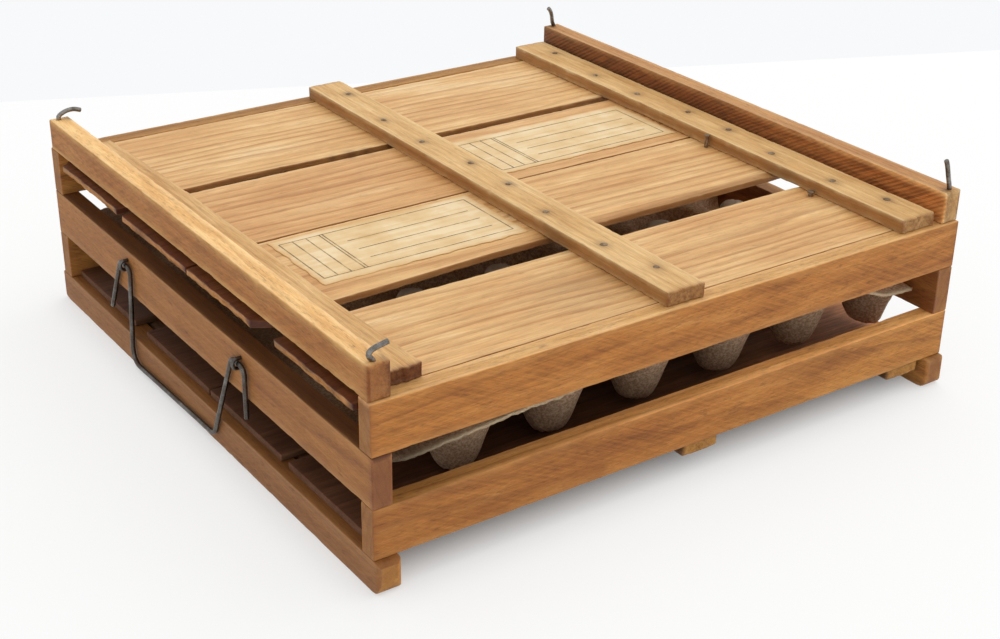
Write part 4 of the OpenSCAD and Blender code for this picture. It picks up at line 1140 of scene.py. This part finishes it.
    smooth = put(tree, "GeometryNodeSetShadeSmooth", {"Geometry": placed})
    solid = put(tree, "GeometryNodeRealizeInstances", {"Geometry": smooth})
    done = put(tree, "GeometryNodeSetMaterial", {"Geometry": solid, "Material": pulp})
    put(tree, "NodeGroupOutput", {"Geometry": done})
    return tree


flatInputs = {"Side": 2 * flat["half"] * mm, "Pitch": flat["pitch"] * mm, "Web": flat["web"] * mm,
              "Seed": float(flat["seed"])}
for key, rule in flat["warps"].items():
    flatInputs[key] = rule["by"] * mm
mould = flatTree(flatInputs, pulpMaterial())
piece = bakeTree("egg_flat_pulp", mould, flatInputs, thickness=flat["wall"] * mm)
fit(piece, "flat", "moulded_pulp", "egg_flat")
print("flat moulded,", len(piece.data.polygons), "faces")


# Labels: thin cream paper forms pasted on the lid, rubbed and torn at the edges, ruled but blank

labels = {
    "left": {"x": (-128.0, -16.5), "y": (-63.0, -7.0), "ruled": (-124.0, -22.0, -56.0, -13.0), "seed": 61},
    "right": {"x": (11.5, 131.0), "y": (4.0, 59.0), "ruled": (17.0, 124.0, 9.0, 51.0), "seed": 62},
}
labelLook = {
    "lift": 0.12, "step": 1.5, "tear": 1.3, "tearSize": 6, "tearReach": 2.0, "tornReach": 1.6,
    "paperTones": [(0.5, "#d1ab72"), (0.72, "#dcbb87"), (0.9, "#e3c798"), (1.1, "#e9d1a8")],
    "torn": "#d3a468", "grain": (90.0, 3.5), "cloud": 16,
    "inkTones": [(0.35, "#6c5b46"), (0.5, "#86704e"), (0.62, "#b99c6c"), (0.75, "#d8ba86")],
    "inkLift": 0.05, "inkWidth": 0.6, "inkRubs": 7, "inkStep": 3,
    # the form in mm: columns from its left edge, the gap of the double line, then the ends of the writing
    # lines from the last column and the right edge, and the first and last of them from the edges
    "columns": (7, 14, 21), "double": 1.6, "lineEnds": (8, 6), "lineEdges": (9, 13), "lines": 3,
}


# machine-made wood-pulp paper, aged to cream under thin varnish; the board's grain shows through
def paperMaterial():
    material, tree = newMaterial("aged_label_paper")
    place = put(tree, "ShaderNodeTexCoord")
    along, across = labelLook["grain"]
    grain = put(tree, "ShaderNodeMapping", {"Vector": (place, "Object"),
                "Scale": (1 / (along * mm), 1 / (across * mm), 1.0)})
    lines = put(tree, "ShaderNodeTexNoise", {"Vector": grain, "Scale": 1.0, "Detail": 4.0, "Roughness": 0.65})
    cloud = put(tree, "ShaderNodeTexNoise", {"Vector": (place, "Object"),
                "Scale": 1 / (labelLook["cloud"] * mm), "Detail": 4.0})
    mixed = put(tree, "ShaderNodeMath", {0: lines, 1: 0.7, 2: cloud}, operation="MULTIPLY_ADD")
    colour = put(tree, "ShaderNodeValToRGB", {0: mixed}, stops=labelLook["paperTones"])
    torn = put(tree, "ShaderNodeAttribute", attribute_name="torn")
    colour = put(tree, "ShaderNodeMix", {"Factor": (torn, "Fac"), "A": colour,
                 "B": hexColour(labelLook["torn"])}, data_type="RGBA")
    bump = put(tree, "ShaderNodeBump", {"Height": lines, "Strength": 0.25, "Distance": 0.2 * mm})
    shader = put(tree, "ShaderNodeBsdfPrincipled", {"Base Color": colour, "Roughness": 0.6, "Normal": bump,
                 "IOR": 1.5, "Specular IOR Level": 0.3})
    put(tree, "ShaderNodeOutputMaterial", {"Surface": shader})
    return material


# printer's ink rubbed away in places
def inkMaterial():
    material, tree = newMaterial("rubbed_ink")
    place = put(tree, "ShaderNodeTexCoord")
    gone = put(tree, "ShaderNodeTexNoise", {"Vector": (place, "Object"),
               "Scale": 1 / (labelLook["inkRubs"] * mm), "Detail": 5.0, "Roughness": 0.7})
    colour = put(tree, "ShaderNodeValToRGB", {0: gone}, stops=labelLook["inkTones"])
    shader = put(tree, "ShaderNodeBsdfPrincipled", {"Base Color": colour, "Roughness": 0.7, "IOR": 1.5})
    put(tree, "ShaderNodeOutputMaterial", {"Surface": shader})
    return material


def labelSheet(form):
    # a grid whose edges are torn
    xs = np.arange(form["x"][0], form["x"][1], labelLook["step"])
    ys = np.arange(form["y"][0], form["y"][1], labelLook["step"])
    gx, gy = np.meshgrid(xs, ys, indexing="ij")
    inX = np.minimum(gx - xs[0], xs[-1] - gx)
    inY = np.minimum(gy - ys[0], ys[-1] - gy)
    inside = np.minimum(inX, inY)
    size = labelLook["tearSize"]
    ragged = dents(gx + gy, gx - gy, size, size, form["seed"])
    pull = labelLook["tear"] * ragged * np.exp(-inside / labelLook["tearReach"])
    middleX, middleY = (xs[0] + xs[-1]) / 2, (ys[0] + ys[-1]) / 2
    px = gx - np.sign(gx - middleX) * pull * (inX < inY + 1)
    py = gy - np.sign(gy - middleY) * pull * (inY < inX + 1)
    torn = np.exp(-inside / labelLook["tornReach"])
    columns = len(ys)
    faces = [(i * columns + j, (i + 1) * columns + j, (i + 1) * columns + j + 1, i * columns + j + 1)
             for i in range(len(xs) - 1) for j in range(columns - 1)]
    top = np.full(px.size, lidTop + labelLook["lift"])
    return np.column_stack([px.ravel() + crateMiddle, py.ravel(), top]), faces, torn.ravel()


def ruleStrip(x0, y0, x1, y1, width):
    # one printed line as a thin strip of short lengths
    length = math.hypot(x1 - x0, y1 - y0)
    count = max(2, round(length / labelLook["inkStep"]))
    sideways = np.array([-(y1 - y0), x1 - x0]) / length * width / 2
    points, faces = [], []
    for i, t in enumerate(np.linspace(0, 1, count)):
        middle = np.array([x0 + (x1 - x0) * t + crateMiddle, y0 + (y1 - y0) * t])
        for side in (-1, 1):
            points.append((*(middle + side * sideways), lidTop + labelLook["lift"] + labelLook["inkLift"]))
        if i:
            faces.append((2 * i - 2, 2 * i - 1, 2 * i + 1, 2 * i))
    return points, faces


def formRules(ruled, width):
    # an outline, three columns at the left end and open writing lines
    x0, x1, y0, y1 = ruled
    strips = [(x0, y0, x1, y0), (x0, y1, x1, y1), (x0, y0, x0, y1), (x1, y0, x1, y1)]
    columns = [x0 + column for column in labelLook["columns"]]
    columns.append(columns[-1] + labelLook["double"])
    strips += [(x, y0, x, y1) for x in columns]
    first, last = x0 + labelLook["columns"][-1] + labelLook["lineEnds"][0], x1 - labelLook["lineEnds"][1]
    low, high = y0 + labelLook["lineEdges"][0], y1 - labelLook["lineEdges"][1]
    strips += [(first, y, last, y) for y in np.linspace(low, high, labelLook["lines"])]
    return [ruleStrip(*strip, width) for strip in strips]


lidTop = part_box("lid_board_2")[1][2] / mm
paper, ink = paperMaterial(), inkMaterial()
for side, form in labels.items():
    points, faces, torn = labelSheet(form)
    fit(newPiece(side + "_label_paper", points, faces, paper, {"torn": torn}), "lid", "board_wood")
    points, faces = joinShapes(formRules(form["ruled"], labelLook["inkWidth"]))
    fit(newPiece(side + "_label_rules", points, faces, ink), "lid", "board_wood")
print("labels laid")


# Stage, light and camera

stage = {
    "size": 9000.0, "skyDark": 0.32, "skyBright": 1.22, "skyFrom": (0.6, 0.0, 0.8), "seen": "#f8f9fb",
    "lamp": 5.0, "lampSize": 1.4, "lampPlace": (0.8, 0.25, 1.6), "lampAim": (0, 0, 0.05),
    "card": "#f7f8f9", "cardSeen": "#fcfcfb", "paleFrom": -34.0, "paleTo": 22.0, "pale": 0.74,
    "wallStart": (-84.5, 501.1), "wallEnd": (639.1, 194.6), "wallHigh": 3000.0,
}
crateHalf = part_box("front_top_slat")[1][0] / mm - crateMiddle


def seenRays(tree):
    # 1 for rays that show the stage itself, 0 for those that light the crate
    path = put(tree, "ShaderNodeLightPath")
    seen = put(tree, "ShaderNodeMath", {0: (path, "Is Camera Ray"), 1: (path, "Is Glossy Ray")},
               operation="MAXIMUM")
    return put(tree, "ShaderNodeMath", {0: seen, 1: (path, "Is Transmission Ray")}, operation="MAXIMUM")


def floorMaterial():
    # smooth white card, which looks paler than it is lit away from the crate and keeps the shadow close to it
    material, tree = newMaterial("white_card")
    place = put(tree, "ShaderNodeTexCoord")
    away = put(tree, "ShaderNodeVectorMath", {0: (place, "Object"), 1: (crateMiddle * mm, 0, 0)},
               operation="SUBTRACT")
    away = put(tree, "ShaderNodeVectorMath", {0: away}, operation="ABSOLUTE")
    xyz = put(tree, "ShaderNodeSeparateXYZ", {0: away})
    most = put(tree, "ShaderNodeMath", {0: (xyz, "X"), 1: (xyz, "Y")}, operation="MAXIMUM")
    pale = put(tree, "ShaderNodeMapRange", {"Value": most, "From Min": (crateHalf + stage["paleFrom"]) * mm,
               "From Max": (crateHalf + stage["paleTo"]) * mm, "To Max": stage["pale"]},
               interpolation_type="SMOOTHSTEP")
    pale = put(tree, "ShaderNodeMath", {0: pale, 1: seenRays(tree)}, operation="MULTIPLY")
    lit = put(tree, "ShaderNodeBsdfPrincipled", {"Base Color": hexColour(stage["card"]), "Roughness": 0.8})
    glow = put(tree, "ShaderNodeEmission", {"Color": hexColour(stage["cardSeen"]), "Strength": 1.0})
    shader = put(tree, "ShaderNodeMixShader", {0: pale, 1: lit, 2: glow})
    put(tree, "ShaderNodeOutputMaterial", {"Surface": shader})
    return material


def wallMaterial():
    # pale painted wall, seen only from the front and casting nothing on the crate
    material, tree = newMaterial("pale_wall")
    facing = put(tree, "ShaderNodeNewGeometry")
    front = put(tree, "ShaderNodeMath", {0: 1.0, 1: (facing, "Backfacing")}, operation="SUBTRACT")
    shown = put(tree, "ShaderNodeMath", {0: front, 1: seenRays(tree)}, operation="MULTIPLY")
    clear = put(tree, "ShaderNodeBsdfTransparent")
    glow = put(tree, "ShaderNodeEmission", {"Color": hexColour(stage["seen"]), "Strength": 1.0})
    shader = put(tree, "ShaderNodeMixShader", {0: shown, 1: clear, 2: glow})
    put(tree, "ShaderNodeOutputMaterial", {"Surface": shader})
    return material


half = stage["size"] / 2
floor = newPiece("floor", [(-half, -half, 0), (half, -half, 0), (half, half, 0), (-half, half, 0)],
                 [(0, 1, 2, 3)], floorMaterial())
lineStart, lineEnd = (np.array([x + crateMiddle, y, 0.0]) for x, y in (stage["wallStart"], stage["wallEnd"]))
reach = (lineEnd - lineStart) / np.linalg.norm(lineEnd - lineStart) * half
high = np.array([0, 0, stage["wallHigh"]])
wallEnds = [lineStart - reach, lineEnd + reach]
wall = newPiece("wall", [*wallEnds, wallEnds[1] + high, wallEnds[0] + high], [(0, 1, 2, 3)], wallMaterial())

world = bpy.data.worlds.new("soft_white")
scene.world = world
world.use_nodes = True
tree = world.node_tree
tree.nodes.clear()
ray = put(tree, "ShaderNodeTexCoord")
toward = put(tree, "ShaderNodeVectorMath", {0: (ray, "Generated"), 1: stage["skyFrom"]},
             operation="DOT_PRODUCT")
strength = put(tree, "ShaderNodeMapRange", {"Value": (toward, "Value"), "From Min": -1.0, "From Max": 1.0,
               "To Min": stage["skyDark"], "To Max": stage["skyBright"]})
light = put(tree, "ShaderNodeBackground", {"Color": (1, 1, 1, 1), "Strength": strength})
backdrop = put(tree, "ShaderNodeBackground", {"Color": hexColour(stage["seen"]), "Strength": 1.0})
mixed = put(tree, "ShaderNodeMixShader", {0: seenRays(tree), 1: light, 2: backdrop})
put(tree, "ShaderNodeOutputWorld", {"Surface": mixed})

lamp = bpy.data.lights.new("soft_lamp", "AREA")
lamp.energy = stage["lamp"]
lamp.size = stage["lampSize"]
lampObject = bpy.data.objects.new("soft_lamp", lamp)
lampObject.location = stage["lampPlace"]
aim = np.array(stage["lampPlace"]) - np.array(stage["lampAim"])
lean = math.atan2(math.hypot(aim[0], aim[1]), aim[2])
lampObject.rotation_euler = (lean, 0, math.atan2(aim[1], aim[0]) + math.pi / 2)
scene.collection.objects.link(lampObject)

view = {"place": (-439.5, -642.8, 399.7), "turn": (63.452, -0.772, -34.598), "lens": 59.517, "sensor": 36.0}
camera = bpy.data.cameras.new("photo_view")
camera.lens = view["lens"]
camera.sensor_width = view["sensor"]
camera.sensor_fit = "HORIZONTAL"
cameraObject = bpy.data.objects.new("photo_view", camera)
cameraObject.location = [value * mm for value in view["place"]]
cameraObject.location[0] += crateMiddle * mm
cameraObject.rotation_euler = [math.radians(angle) for angle in view["turn"]]
scene.collection.objects.link(cameraObject)
scene.camera = cameraObject
scene.view_settings.view_transform = "Standard"
print("stage set")
